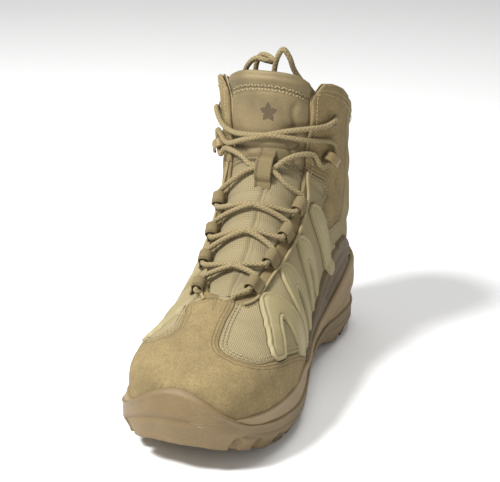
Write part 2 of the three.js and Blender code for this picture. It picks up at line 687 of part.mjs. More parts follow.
place('outsole', outsole, rubber);
place('midsole', midsole, foam);
place('upper', upper, suede);
place('insole', insole, lining);
place('tongue', tongue, textile);
place('heel_counter', heelCounter, rubber);
Object.entries(EYELET_SEATS).forEach(([side, seat]) => {
  place(`eyelet_ring_${side}`, eyeletRing(seat), steel);
});
Object.entries(HOOK_SEATS).forEach(([side, seat]) => {
  place(`speed_hook_${side}`, speedHook(seat), paint);
});
Object.entries(LOOP_SEATS).forEach(([side, seats]) => {
  seats.forEach(([station, v], i) => {
    const sign = side === 'medial' ? 1 : -1;
    place(`lace_loop_${side}_${i + 1}`, laceLoop(station, v, sign), webbing);
  });
});
place('tongue_keeper', keeperSolid(), webbing);
place('lace_crossings', laceCrossings, webbing);
Object.keys(LACE_END_PATHS).forEach((side) => place(`lace_end_${side}`, laceEnd(side), webbing));

export default boot;
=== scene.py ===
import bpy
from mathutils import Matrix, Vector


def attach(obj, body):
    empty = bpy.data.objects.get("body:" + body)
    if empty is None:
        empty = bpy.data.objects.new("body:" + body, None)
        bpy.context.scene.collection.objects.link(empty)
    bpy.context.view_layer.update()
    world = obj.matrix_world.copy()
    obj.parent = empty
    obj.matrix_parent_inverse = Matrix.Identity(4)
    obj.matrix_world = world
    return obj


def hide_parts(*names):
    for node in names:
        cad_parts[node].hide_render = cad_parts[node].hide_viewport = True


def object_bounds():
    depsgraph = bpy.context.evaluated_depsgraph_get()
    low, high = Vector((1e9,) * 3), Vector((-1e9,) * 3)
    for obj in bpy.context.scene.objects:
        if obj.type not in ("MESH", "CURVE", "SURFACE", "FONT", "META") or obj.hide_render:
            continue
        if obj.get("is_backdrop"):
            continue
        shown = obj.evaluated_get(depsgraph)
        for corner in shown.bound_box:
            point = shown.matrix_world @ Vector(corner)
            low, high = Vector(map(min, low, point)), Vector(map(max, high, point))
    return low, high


bl_info = {
    "name": "Combat boot",
    "version": (1, 0, 0),
    "blender": (4, 5, 0),
    "location": "3D view > Sidebar > Boot",
    "description": "Builds the looks of a right combat boot around its packed CAD part",
    "category": "Object",
}

import math

import bmesh
import bpy
import numpy as np

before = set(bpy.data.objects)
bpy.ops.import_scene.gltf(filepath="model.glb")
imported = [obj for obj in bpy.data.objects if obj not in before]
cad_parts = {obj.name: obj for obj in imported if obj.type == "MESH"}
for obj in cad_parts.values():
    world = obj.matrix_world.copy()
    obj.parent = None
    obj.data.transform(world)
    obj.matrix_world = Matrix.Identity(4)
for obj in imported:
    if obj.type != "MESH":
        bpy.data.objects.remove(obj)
START_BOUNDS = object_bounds()

# ---------------------------------------------------------------- sizes, millimetres
SOLE_LENGTH = 306.0
WIDEST = 0.6
LACE_SIZE = 4.0
TOE_LOW_STATIONS = 2.5

# Upper sections, toe to collar: top point, bottom point, half widths, feather edge, sideways
# shift, level of the widest place and the roundness of the inner, outer and lower quarters.
UPPER_SECTIONS = np.array([
    (300, 38, 300, 37, 0.8, 0.8, 0, 0, 6, 6, .45, 2, 2, 2),
    (298, 54, 298.5, 29, 20, 19, 16, 16, 6, 6, .46, 2.4, 2.4, 2),
    (290, 63, 291.5, 27, 33, 33.5, 29.5, 29, 5, 5, .45, 2.6, 2.6, 2),
    (277, 69, 278, 24.5, 43, 44, 39, 40, 4, 4, .43, 2.6, 2.6, 2),
    (260, 73.5, 260, 22, 50, 50.5, 46, 46.5, 3, 3, .41, 2.5, 2.4, 2),
    (240, 79, 238, 20, 54, 53.5, 49.5, 49.5, 2, 1, .38, 2.4, 2.1, 2),
    (217, 87, 211, 19, 55, 53.5, 51, 50, 1, 0, .34, 2.3, 1.8, 2),
    (193, 99, 182, 20, 51.5, 51.5, 47, 48, 1, -1, .32, 2.2, 1.7, 2),
    (171, 113, 150, 22, 45.5, 49.5, 39.5, 45, 1, -1, .33, 2.1, 1.75, 2),
    (152, 128, 118, 26, 41, 46.5, 35, 41, 0, -1, .37, 2.1, 1.9, 2),
    (139, 141.5, 82, 29, 39, 45.5, 33.5, 35.5, 0, 0, .43, 2.1, 2.1, 2.1),
    (129, 153.5, 46, 31.5, 39.5, 46.5, 34, 34, 0, 1, .50, 2.1, 2.1, 2.2),
    (124, 163, 20, 33.5, 39.5, 47.5, 29, 28, 0, 1, .54, 2.1, 2.1, 2.3),
    (121.5, 170, 9, 35, 39.5, 48, 17, 17, 0, 1, .56, 2.1, 2.1, 2.3),
    (120, 177, 5.5, 38, 39.5, 48.5, 0, 0, 0, 1, .56, 2.1, 2.1, 2.3),
    (118.5, 187, 3.5, 64, 40, 49, 0, 0, 0, 1, .55, 2.1, 2.1, 2.3),
    (118, 199, 8.5, 97, 40.5, 50, 0, 0, 0, 1, .53, 2.2, 2.2, 2.3),
    (118, 212, 13.5, 134, 41, 50.5, 0, 0, 0, 0, .52, 2.2, 2.2, 2.3),
    (118.5, 225, 14.5, 175, 41.5, 51, 0, 0, 0, 0, .52, 2.2, 2.2, 2.3),
    (120, 244, 14, 224, 41.5, 51, 0, 0, 0, 0, .52, 2.2, 2.2, 2.3),
], float)
# Throat edge: station and how far round the section it lies, inner and outer side.
THROAT_EDGE = np.array([
    (6.45, .075, .115), (6.9, .115, .165), (7.8, .165, .215), (9, .225, .245), (10.3, .27, .265),
    (12, .275, .27), (15, .28, .275), (17, .29, .28), (18.9, .3, .29),
], float)
# Collar line seen from the side: x and height.
COLLAR_LINE = np.array([
    (-12, 176), (6, 176), (18, 178), (34, 184), (52, 195), (70, 206), (86, 213), (98, 216),
    (108, 214), (114, 206), (119, 196), (140, 196),
], float)
# Sole outline: x, wall inner and outer, ground inner and outer.
SOLE_OUTLINE = np.array([
    (0, 1, 1, 1, 1), (3, 16, -14, 12, -10), (10, 28, -26, 22, -20), (22, 37, -35, 31, -30),
    (40, 42, -40, 36, -35), (65, 42, -41, 37, -36), (100, 39, -43, 34, -37),
    (140, 43, -49, 36, -42), (180, 53, -55, 45, -48), (213, 59, -58.5, 52, -51),
    (240, 58.5, -57.5, 51, -50), (263, 54, -53, 48, -47), (282, 45.5, -43, 40, -37.5),
    (295, 33.5, -29.5, 28, -25), (303, 19, -13, 16, -10), (306, 4, 4, 4, 4),
], float)
# Heights along the sole: x, tread, top of the rubber, top of the midsole.
SOLE_HEIGHTS = np.array([
    (0, 4.5, 25, 64), (12, 0, 25, 65), (40, 0, 24, 62), (62, 0, 25, 54), (76, 3, 25, 48),
    (88, 9, 25, 44), (110, 10, 23, 38), (140, 8, 20, 34), (165, 1.5, 17.5, 32),
    (178, 0, 17.5, 32), (213, 0, 20, 32), (230, 0, 22, 33), (248, 3, 24.5, 35),
    (263, 7, 27.5, 36.5), (275, 11, 31, 38), (285, 14.5, 35.5, 38.5), (292, 17, 41.5, 39),
    (298, 19, 49, 39), (303, 20.5, 57, 39), (306, 21, 60, 39),
], float)

# Grooves between the lugs: place along the sole, width, turn in degrees, from and to across it.
GROOVES = [
    (8, 4, 0, -60, 60), (22, 4, 8, 3, 60), (22, 4, -8, -60, -3), (50, 5, -10, -60, 60),
    (176, 5, 12, 3, 75), (176, 5, -12, -75, -3), (192, 5, 12, 12, 75), (190, 5, -12, -75, -12),
    (216, 6, 10, 2, 75), (218, 5, -10, -75, -2), (236, 5, 8, 12, 75), (236, 5, -8, -75, -12),
    (253, 5, 6, 2, 75), (253, 5, -6, -75, -2), (270, 4.5, 0, -75, 75), (286, 4, 0, -75, 75),
]
GROOVE_DEPTH = 4.0
LUG_HEIGHT = 7.5

# Panels on the upper. Each row is (station, share round the section from the front centre line).
SUEDE_INNER = [(6.12, 0), (6.1, .056), (5.33, .05), (4.4, .06), (3.98, .09), (3.8, .15), (3.8, .22),
               (4.13, .325), (4.98, .42), (5.88, .49), (6.9, .6), (7.9, .74), (7.9, 1.1), (0, 1.1),
               (-.5, .9), (-.5, -.1), (6.12, -.1)]
SUEDE_OUTER = [(6.12, 0), (6.08, .18), (5.4, .16), (4.93, .15), (4.55, .18), (4.4, .25),
               (4.5, .33), (5.0, .42), (5.88, .49), (6.9, .6), (7.9, .74), (7.9, 1.1), (0, 1.1),
               (-.5, .9), (-.5, -.1), (6.12, -.1)]
PIPING_LINE = [(12.6, .285), (11.9, .29), (10.7, .325), (9.36, .32), (8.3, .263), (7.4, .20),
               (6.6, .16), (6.3, .135), (6.08, .10)]
EYESTAY = [(6.08, .05), (6.08, .10), (6.3, .135), (6.6, .16), (7.4, .20), (8.3, .263), (9.36, .32),
           (10.7, .325), (11.9, .29), (12.6, .285), (12.6, .2), (6.08, .02)]
ANKLE_PANEL = [(12.75, .2), (12.85, .30), (13.2, .37), (13.69, .42), (13.3, .46), (12.7, .465),
               (11.6, .445), (11.06, .455), (10.9, .49), (11.2, .545), (12.2, .60), (13.2, .62),
               (15.2, .625), (17.9, .63), (19, .63), (19, .2)]
CHEVRONS = [
    [(6.5, .16), (6.2, .19), (5.8, .24), (5.35, .295), (5.0, .36), (4.97, .415), (5.25, .445),
     (5.5, .45), (5.8, .40), (6.12, .345), (6.42, .322), (6.5, .36), (6.47, .45), (6.42, .54),
     (6.6, .575), (6.95, .60), (7.12, .55), (7.16, .45), (7.08, .34), (6.95, .25), (6.75, .18)],
    [(7.82, .232), (7.55, .285), (7.36, .37), (7.28, .48), (7.3, .60), (7.4, .625), (7.58, .6),
     (7.62, .5), (7.74, .41), (7.92, .385), (7.96, .45), (7.9, .55), (7.95, .615), (8.1, .62),
     (8.24, .58), (8.32, .46), (8.32, .35), (8.22, .28), (8.02, .237)],
    [(9.22, .325), (8.95, .38), (8.74, .46), (8.62, .55), (8.64, .62), (8.8, .625), (8.92, .57),
     (9.05, .49), (9.22, .455), (9.27, .5), (9.14, .57), (9.16, .62), (9.32, .61), (9.5, .54),
     (9.66, .46), (9.72, .4), (9.6, .35), (9.4, .325)],
    [(10.62, .352), (10.45, .40), (10.32, .48), (10.2, .57), (10.2, .65), (10.45, .66), (10.62, .6),
     (10.85, .52), (11.1, .45), (11.2, .405), (11.05, .365), (10.85, .35)],
]
HEEL_WING = [(7.4, .69), (8.64, .675), (9.26, .66), (9.8, .635), (10.44, .625), (11.3, .63),
             (12.6, .665), (13.4, .71), (14.2, .77), (14.9, .88),
             (15.2, 1.0), (15.2, 1.12), (12, 1.12), (6.8, 1.12)]
WING_LINES = [[(9.0, .70), (10.3, .665), (11.5, .68), (13.0, .74), (14.1, .86), (14.4, 1.0)],
              [(9.8, .73), (11.0, .71), (12.2, .74), (13.2, .82), (13.6, 1.0)]]
RIBS = [[(11.2, .48), (10.85, .53), (10.9, .6), (11.2, .64)],
        [(12.4, .62), (11.5, .575), (11.15, .535), (10.98, .5)]]
FLEX_SLOT = [(15.75, .632), (16.4, .628), (17.0, .632)]
# Creases: stations and shares of both ends, sides they lie on, width and depth.
CREASES = [
    (4.9, .12, 5.35, .36, 0, 5.5, .9), (5.5, .09, 5.95, .30, 0, 5.0, .9), (4.2, .22, 4.6, .5, 0, 6, .6),
    (3.2, .1, 3.5, .42, 0, 9, .7), (3.4, .02, 3.6, .3, -1, 9, .6), (13.6, .44, 13.1, .60, 1, 6, 1.1),
    (15.0, .33, 14.6, .60, 0, 8, 1.2), (16.2, .34, 15.9, .58, 0, 8, .8), (12.1, .33, 12.3, .44, 0, 5, .9),
    (14.2, .5, 15.6, .56, 0, 7, .8), (16.0, .7, 16.1, .96, 0, 9, 1.0), (14.9, .7, 15.0, .95, 0, 9, .9),
    (17.1, .68, 17.1, .97, 0, 9, .9), (12.8, .3, 13.6, .34, -1, 6, .9),
]

# Lace seats, the same as the webbing eyes, hooks and rings of the CAD part.
LOOP_SEATS = {1: [(6.75, .11), (7.8, .16), (8.95, .215), (10.3, .255)],
              -1: [(6.6, .165), (7.75, .215), (8.8, .24), (10.1, .255)]}
HOOK_SEATS = {1: (15.1, .425), -1: (15.1, .41)}
RING_SEATS = {1: (16.9, .475), -1: (16.9, .45)}
LACE_START = {1: (6.2, .045, 3.0), -1: (6.35, -.15, 2.6)}
LACE_CROSSINGS = [(7.2, 3.2), (8.4, 3.2), (9.4, 3.2), (11.35, 1.6)]
BY_KEEPER = [(10.75, .16, 3.6), (11.15, .075, 2.6)]
EYE_LIFT = LACE_SIZE / 2 + 1.4 + 1.2 + 0.6
EYE_HALF = 6.5
HOOK_PATH = [(6.5, -10), (.9, -5.6), (.4, 0), (.9, 5.6), (6.5, 10)]
HOOK_LIFT = 4.9
TO_HOOK = {1: [(11.5, .075, 2.6), (12.25, .13, 3.2), (13.3, .2, 3.6), (14.3, .3, 4)],
           -1: [(11.5, -.075, 2.6), (12.15, -.13, 3.2), (13.0, -.2, 3.6), (14.1, -.3, 4)]}
TO_EYELET = {
    1: [(14.75, .22, 3.6), (14.25, .05, 3.4), (14.2, -.08, 3.2), (14.8, -.22, 3.2), (15.8, -.34, 3.8)],
    -1: [(14.4, -.28, 3.6), (13.9, -.14, 3.4), (14.1, -.02, 3.2), (14.85, .13, 3.2), (15.6, .26, 3.6),
         (16.3, .38, 4.2)],
}
LACE_END_PATHS = {
    1: [(86, 33.5, 186), (88.5, 27, 200), (94, 19, 214), (98.5, 13, 225), (102, 10.5, 235),
        (104, 6.5, 241), (103, 2, 235), (101.5, -1, 225), (101, -2, 212), (99, -1, 199),
        (97, 1, 187)],
    -1: [(88, -41, 187), (89.5, -34.5, 201), (93, -28.5, 214), (96.5, -23.5, 225),
         (99, -16, 231.5), (99.5, -8, 230.5), (95.5, -4.5, 229), (91, -8, 231), (88, -16, 231.5),
         (85.5, -21, 223), (83.5, -22, 208), (82, -21, 194)],
}


# ---------------------------------------------------------------- shape reading
def cubic(a, b, c, d, f):
    """Catmull-Rom value between b and c at share f."""
    return .5 * (2 * b + (c - a) * f + (2 * a - 5 * b + 4 * c - d) * f ** 2
                 + (3 * b - a - 3 * c + d) * f ** 3)


def read_table(rows, at):
    """Smooth reading of a table at fractional row numbers; one result row per number."""
    top = len(rows) - 1
    t = np.clip(at, 0, top - 1e-9)
    i = np.floor(t).astype(int)
    row = lambda k: rows[np.clip(k, 0, top)]
    return cubic(row(i - 1), row(i), row(i + 1), row(i + 2), (t - i)[..., None])


def upper_point(s, v, out=0.0):
    """Point on the upper's form, in shoe millimetres: station s, share v round the section (inner
    side positive), grown outwards by out. Each quarter is a superellipse."""
    s, v, out = np.broadcast_arrays(np.asarray(s, float), np.asarray(v, float),
                                    np.asarray(out, float))
    side, v = np.where(v < 0, -1.0, 1.0), np.abs(v)
    (tx, tz, bx, bz, win, wout, fin, fout, st, sb, wide, rin, rout, rlow) = np.moveaxis(
        read_table(UPPER_SECTIONS, s), -1, 0)
    width, foot = np.where(side > 0, win, wout), np.where(side > 0, fin, fout)
    rnd = np.where(side > 0, rin, rout)
    half = np.maximum(width + out, .3)
    a = np.minimum(v / WIDEST, 1) * math.pi / 2
    b = np.maximum((v - WIDEST) / (1 - WIDEST), 0) * math.pi / 2
    floor = np.clip((foot + np.where(foot > 0, out, 0)) / half, 0, 1)
    upper = v <= WIDEST
    sa, ca = np.abs(np.sin(a)), np.abs(np.cos(a))
    sb_, cb = np.abs(np.sin(b)), np.abs(np.cos(b))
    across = np.where(upper, sa ** (2 / rnd), floor + (1 - floor) * cb ** (2 / rlow))
    up = np.where(upper, wide + (1 - wide) * ca ** (2 / rnd), wide * (1 - sb_ ** (2 / rlow)))
    dx, dz = tx - bx, tz - bz
    size = np.hypot(dx, dz)
    ex, ez = dx / np.maximum(size, 1e-6), dz / np.maximum(size, 1e-6)
    tall = np.maximum(size + 2 * out, .3)
    x = bx - ex * out + ex * tall * up + out * np.maximum(0, 1 - s / TOE_LOW_STATIONS)
    y = sb + (st - sb) * up + side * half * across
    z = bz - ez * out + ez * tall * up
    return np.stack([x, y, z], -1)


def normal_at(s, v):
    """Outward direction of the form at s, v."""
    s, v = np.asarray(s, float), np.asarray(v, float)
    sign = np.where(v < 0, -1.0, 1.0)
    ds = upper_point(s + .02, v) - upper_point(s - .02, v)
    dv = upper_point(s, v + sign * .002) - upper_point(s, v + sign * .0001)
    n = np.cross(ds, dv) * sign[..., None] * -1
    n /= np.maximum(np.linalg.norm(n, axis=-1, keepdims=True), 1e-9)
    grow = upper_point(s, v, 1.0) - upper_point(s, v)
    return n * np.where((n * grow).sum(-1, keepdims=True) < 0, -1.0, 1.0)


def smooth_path(points, count, closed=False):
    """Catmull-Rom curve through points, resampled to even spacing."""
    p = np.asarray(points, float)
    if closed:
        p = np.concatenate([p[-1:], p, p[:2]])
    else:
        p = np.concatenate([2 * p[:1] - p[1:2], p, 2 * p[-1:] - p[-2:-1]])
    f = np.linspace(0, 1, 25)[:-1][None, :, None]
    q = cubic(p[:-3, None], p[1:-2, None], p[2:-1, None], p[3:, None], f).reshape(-1, p.shape[1])
    q = np.concatenate([q, p[-2:-1]])
    step = np.concatenate([[0], np.cumsum(np.linalg.norm(np.diff(q, axis=0), axis=1))])
    at = np.linspace(0, step[-1], count)
    return np.stack([np.interp(at, step, q[:, k]) for k in range(q.shape[1])], -1)


def centripetal(points, count):
    """Centripetal Catmull-Rom curve through 3-D points, at even spacing: the lace's own line."""
    p = np.asarray(points, float)
    p = np.concatenate([2 * p[:1] - p[1:2], p, 2 * p[-1:] - p[-2:-1]])
    knot = np.sqrt(np.maximum(np.linalg.norm(np.diff(p, axis=0), axis=1), 1e-6))
    t0, t1, t2 = knot[:-2, None], knot[1:-1, None], knot[2:, None]
    b, c = p[1:-2], p[2:-1]
    m1 = ((b - p[:-3]) / t0 - (c - p[:-3]) / (t0 + t1) + (c - b) / t1) * t1
    m2 = ((c - b) / t1 - (p[3:] - b) / (t1 + t2) + (p[3:] - c) / t2) * t1
    f = np.linspace(0, 1, 41)[:-1][None, :, None]
    b, c, m1, m2 = b[:, None], c[:, None], m1[:, None], m2[:, None]
    q = ((2 * f ** 3 - 3 * f ** 2 + 1) * b + (f ** 3 - 2 * f ** 2 + f) * m1
         + (3 * f ** 2 - 2 * f ** 3) * c + (f ** 3 - f ** 2) * m2).reshape(-1, 3)
    q = np.concatenate([q, p[-2:-1]])
    step = np.concatenate([[0], np.cumsum(np.linalg.norm(np.diff(q, axis=0), axis=1))])
    at = np.linspace(0, step[-1], count)
    return np.stack([np.interp(at, step, q[:, k]) for k in range(3)], -1)


def line_distance(p, line, keep=None):
    """Distance from each point p to a 3-D polyline, and the length along the polyline there. Only
    the pieces whose both ends are kept count."""
    best, along = np.full(len(p), 1e9), np.zeros(len(p))
    a, d = line[:-1], np.diff(line, axis=0)
    if keep is not None:
        a, d = a[keep[:-1] & keep[1:]], d[keep[:-1] & keep[1:]]
    size = np.linalg.norm(d, axis=1)
    start = np.concatenate([[0], np.cumsum(size)])[:-1]
    for lo in range(0, len(p), 8000):
        q = p[lo:lo + 8000, None]
        f = np.clip(((q - a) * d).sum(-1) / np.maximum(size ** 2, 1e-9), 0, 1)
        gap = np.linalg.norm(q - (a + f[..., None] * d), axis=-1)
        k = gap.argmin(1)
        r = np.arange(len(k))
        best[lo:lo + 8000], along[lo:lo + 8000] = gap[r, k], start[k] + f[r, k] * size[k]
    return best, along


def inside(s, v, outline):
    """Even-odd test of (s, v) in a closed outline."""
    hit = np.zeros(len(s), bool)
    for (s0, v0), (s1, v1) in zip(outline, np.roll(outline, -1, axis=0)):
        crosses = (v0 > v) != (v1 > v)
        hit ^= crosses & (s < s0 + (v - v0) * (s1 - s0) / (v1 - v0 if v1 != v0 else 1e-9))
    return hit


def panel_depth(s, v, p, outline, side):
    """Millimetres inside a panel's edge (negative outside) for points of one side."""
    curve = smooth_path(outline + outline[:1], 220)
    edge = upper_point(curve[:, 0], side * np.maximum(curve[:, 1], 1e-4))
    gap, _ = line_distance(p, edge, (curve[:, 1] > .006) & (curve[:, 1] < .93))
    return np.where(inside(s, np.abs(v), curve), gap, -gap)


def ease(x):
    """Smooth step from 0 to 1."""
    x = np.clip(x, 0, 1)
    return x * x * (3 - 2 * x)


def bump(d, width):
    """Soft round ridge of the given half width."""
    return np.exp(-(d / width) ** 2)


# ---------------------------------------------------------------- mesh helpers
def place(points):
    """Shoe millimetres to the row frame in metres."""
    p = np.array(points, float)
    p[..., 0] -= SOLE_LENGTH / 2
    return p / 1000


def grid_faces(n, m, wrap=False, start=0):
    """Quads of an n by m grid, closed round the second way if wrap."""
    i, j = np.arange(n - 1)[:, None], np.arange(m if wrap else m - 1)[None]
    k = (j + 1) % m
    quads = np.stack([i * m + j, i * m + k, (i + 1) * m + k, (i + 1) * m + j], -1)
    return quads.reshape(-1, 4) + start


def make_piece(name, points, faces, material, uv=None, values=None, slot=None, weld=True):
    """A mesh object from shoe-millimetre points: uv in millimetres, values as point attributes."""
    mesh = bpy.data.meshes.new(name)
    points, faces = place(points).reshape(-1, 3), np.asarray(faces, np.int32)
    mesh.vertices.add(len(points))
    mesh.vertices.foreach_set("co", points.astype(np.float32).ravel())
    mesh.loops.add(faces.size)
    mesh.loops.foreach_set("vertex_index", faces.ravel())
    mesh.polygons.add(len(faces))
    mesh.polygons.foreach_set("loop_start", np.arange(len(faces), dtype=np.int32) * faces.shape[1])
    mesh.polygons.foreach_set("use_smooth", np.ones(len(faces), bool))
    mesh.update(calc_edges=True)
    if uv is not None:
        layer = mesh.uv_layers.new(name="lengths")
        layer.data.foreach_set("uv", (np.asarray(uv, float).reshape(-1, 2)[faces.ravel()]
                                      / 1000).astype(np.float32).ravel())
    for key, data in (values or {}).items():
        mesh.attributes.new(key, "FLOAT", "POINT").data.foreach_set(
            "value", np.asarray(data, np.float32).ravel())
    if weld:
        work = bmesh.new()
        work.from_mesh(mesh)
        bmesh.ops.remove_doubles(work, verts=work.verts, dist=1e-5)
        bmesh.ops.dissolve_degenerate(work, edges=work.edges, dist=1e-7)
        bmesh.ops.recalc_face_normals(work, faces=work.faces)
        work.to_mesh(mesh)
        work.free()
    mesh.validate()
    mesh.materials.append(material)
    thing = bpy.data.objects.new(name, mesh)
    bpy.context.scene.collection.objects.link(thing)
    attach(thing, "root")
    return thing


def two_skins(front, back):
    """Closed shell from two grids of the same size: both skins and a rim round the border."""
    n, m = front.shape[:2]
    index = np.arange(n * m).reshape(n, m)
    rim = np.concatenate([index[0, :-1], index[:-1, -1], index[-1, :0:-1], index[:0:-1, 0]])
    nxt = np.roll(rim, -1)
    faces = np.concatenate([grid_faces(n, m), grid_faces(n, m, start=n * m)[:, ::-1],
                            np.stack([rim, nxt, nxt + n * m, rim + n * m], -1)])
    return np.concatenate([front.reshape(-1, 3), back.reshape(-1, 3)]), faces


def frames_along(path, hint=None):
    """Tangent, normal and side directions along a path; hint gives the normals to keep near."""
    t = np.gradient(path, axis=0)
    t /= np.maximum(np.linalg.norm(t, axis=1, keepdims=True), 1e-9)
    if hint is None:
        n = np.zeros_like(t)
        last = np.cross(t[0], [.3, .2, 1.0])
        for i, way in enumerate(t):
            last = last - way * last.dot(way)
            last /= np.linalg.norm(last)
            n[i] = last
    else:
        n = hint - t * (hint * t).sum(-1, keepdims=True)
        n /= np.maximum(np.linalg.norm(n, axis=1, keepdims=True), 1e-9)
    return t, n, np.cross(t, n)


def sweep(path, section, hint=None):
    """A closed section (second way round) swept along a path, its ends drawn to a point."""
    t, n, b = frames_along(path, hint)
    size = np.concatenate([[0, .75], np.ones(len(path)), [.75, 0]])
    path = np.concatenate([path[:1], path[:1], path, path[-1:], path[-1:]])
    n, b = (np.concatenate([q[:1], q[:1], q, q[-1:], q[-1:]]) for q in (n, b))
    rings = path[:, None] + size[:, None, None] * (
        n[:, None] * section[None, :, :1] + b[:, None] * section[None, :, 1:])
    length = np.concatenate([[0], np.cumsum(np.linalg.norm(np.diff(path, axis=0), axis=1))])
    around = np.concatenate([[0], np.cumsum(np.linalg.norm(np.diff(section, axis=0), axis=1))])
    uv = np.stack(np.broadcast_arrays(length[:, None], around[None]), -1)
    return rings, grid_faces(len(path), len(section), wrap=True), uv


def circle(radius, sides):
    """Round cord section as a closed ring of points."""
    a = np.arange(sides) * 2 * math.pi / sides
    return np.stack([radius * np.cos(a), radius * np.sin(a)], -1)


def strap_section(width, thick):
    """Flat webbing section with rounded edges: thickness first, width second."""
    half, edge = width / 2, thick / 2
    turn = np.linspace(-math.pi / 2, math.pi / 2, 5)
    right = np.stack([edge * np.sin(turn), half - edge + edge * np.cos(turn)], -1)
    top = np.stack([np.full(5, edge), np.linspace(half - edge, -half + edge, 7)[1:-1]], -1)
    left = np.stack([edge * np.sin(-turn), -half + edge - edge * np.cos(turn)], -1)
    return np.concatenate([right, top, left, top[::-1] * [-1, 1]])


def many(parts):
    """Joins (points, faces, uv) triples into one."""
    points, faces, uvs, start = [], [], [], 0
    for p, f, uv in parts:
        points.append(p.reshape(-1, 3))
        faces.append(f + start)
        uvs.append(uv.reshape(-1, 2))
        start += len(points[-1])
    return np.concatenate(points), np.concatenate(faces), np.concatenate(uvs)


def stitches(line, normals, pitch=3.0, length=2.3, width=.8, lift=.2, slant=0.0):
    """A row of stitches: one short thread bead per pitch along a line, laid on the surface."""
    step = np.concatenate([[0], np.cumsum(np.linalg.norm(np.diff(line, axis=0), axis=1))])
    at = np.arange(pitch / 2, step[-1], pitch)
    read = lambda q: np.stack([np.interp(at, step, q[:, k]) for k in range(3)], -1)
    p, n = read(line), read(normals)
    t = read(np.gradient(line, axis=0))
    t /= np.linalg.norm(t, axis=1, keepdims=True)
    n /= np.linalg.norm(n, axis=1, keepdims=True)
    b = np.cross(n, t)
    if slant:
        way = np.where(np.arange(len(at)) % 2, slant, -slant)[:, None]
        t, b = t * np.cos(way) + b * np.sin(way), b * np.cos(way) - t * np.sin(way)
    f = np.array([-1, -.75, 0, .75, 1])
    size = np.array([0, .75, 1, .75, 0])
    sides = 6
    a = np.arange(sides) * 2 * math.pi / sides
    along = (f * length / 2)[None, :, None, None]
    ring = size[None, :, None, None] * width / 2
    drop = (-.35 * f ** 2 * width)[None, :, None, None]
    c = lambda q: q[:, None, None]
    points = (c(p) + c(t) * along + c(b) * ring * np.cos(a)[None, None, :, None]
              + c(n) * (ring * np.sin(a)[None, None, :, None] + lift + drop))
    base = grid_faces(len(f), sides, wrap=True)
    faces = (base[None] + (np.arange(len(at)) * len(f) * sides)[:, None, None]).reshape(-1, 4)
    return points.reshape(-1, 3), faces, np.zeros((points.size // 3, 2))


# ---------------------------------------------------------------- materials
class Graph:
    """A node material built step by step; each method adds nodes and gives back a socket."""

    def __init__(self, name):
        self.material = bpy.data.materials.new(name)
        self.material.use_nodes = True
        self.tree = self.material.node_tree
        self.shader = self.tree.nodes["Principled BSDF"]

    def node(self, kind, settings=None, **inputs):
        made = self.tree.nodes.new(kind)
        for key, value in (settings or {}).items():
            setattr(made, key, value)
        for key, value in inputs.items():
            self.put(made, key.replace("_", " "), value)
        return made

    def put(self, node, key, value):
        """Sets a socket from a number, a colour or another socket."""
        socket = node.inputs[int(key[2:])] if key.startswith("in") and key[2:].isdigit() \
            else node.inputs[key]
        if isinstance(value, bpy.types.NodeSocket):
            self.tree.links.new(value, socket)
        else:
            socket.default_value = value

    def math(self, how, a, b=0.0):
        made = self.node("ShaderNodeMath", {"operation": how}, in0=a, in1=b)
        return made.outputs[0]

    def ramp(self, value, low, high):
        """0 below low, 1 above high, smooth between."""
        made = self.node("ShaderNodeMapRange", {"interpolation_type": "SMOOTHSTEP"}, Value=value,
                         From_Min=low, From_Max=high)
        return made.outputs["Result"]

    def mix(self, share, a, b):
        made = self.node("ShaderNodeMix", {"data_type": "RGBA"}, in0=share, in6=a, in7=b)
        return made.outputs[2]

    def blend(self, share, a, b):
        """Number between a and b."""
        made = self.node("ShaderNodeMix", {"data_type": "FLOAT"}, in0=share, in2=a, in3=b)
        return made.outputs[0]

    def value(self, name):
        return self.node("ShaderNodeAttribute", {"attribute_name": name}).outputs["Fac"]

    def place(self):
        return self.node("ShaderNodeTexCoord").outputs["Object"]

    def lengths(self):
        return self.node("ShaderNodeUVMap", {"uv_map": "lengths"}).outputs["UV"]

    def noise(self, scale, detail=3.0, where=None, rough=.55):
        made = self.node("ShaderNodeTexNoise", None, Vector=where or self.place(), Scale=scale,
                         Detail=detail, Roughness=rough)
        return made.outputs["Fac"]

    def cells(self, scale, where=None):
        made = self.node("ShaderNodeTexVoronoi", None, Vector=where or self.place(), Scale=scale)
        return made.outputs["Distance"]

    def weave(self, pitch, where=None, lean=0.0):
        """Plain weave height: threads pass over and under one another in a checker."""
        split = self.node("ShaderNodeSeparateXYZ", None, Vector=where or self.lengths())
        turn = math.pi / pitch
        u = self.math("MULTIPLY", split.outputs[0], turn)
        v = self.math("MULTIPLY", split.outputs[1], turn)
        if lean:
            v = self.math("ADD", v, self.math("MULTIPLY", u, lean))
        su = self.math("ABSOLUTE", self.math("SINE", u))
        sv = self.math("ABSOLUTE", self.math("SINE", v))
        swap = self.math("GREATER_THAN", self.math("MULTIPLY", self.math("SINE", u),
                                                   self.math("SINE", v)), 0.0)
        return self.blend(swap, self.math("MULTIPLY", su, self.math("POWER", sv, .4)),
                          self.math("MULTIPLY", sv, self.math("POWER", su, .4)))

    def done(self, colour, rough, height=None, depth=.0004, strength=1.0, **fixed):
        self.put(self.shader, "Base Color", colour)
        self.put(self.shader, "Roughness", rough)
        for key, value in fixed.items():
            self.put(self.shader, key.replace("_", " "), value)
        if height is not None:
            made = self.node("ShaderNodeBump", None, Height=height, Strength=strength,
                             Distance=depth)
            self.put(self.shader, "Normal", made.outputs["Normal"])
        return self.material


def tone(colour, gain=1.0):
    """Linear colour with alpha from a property colour."""
    return (*[min(1.0, c * gain) for c in colour[:3]], 1.0)


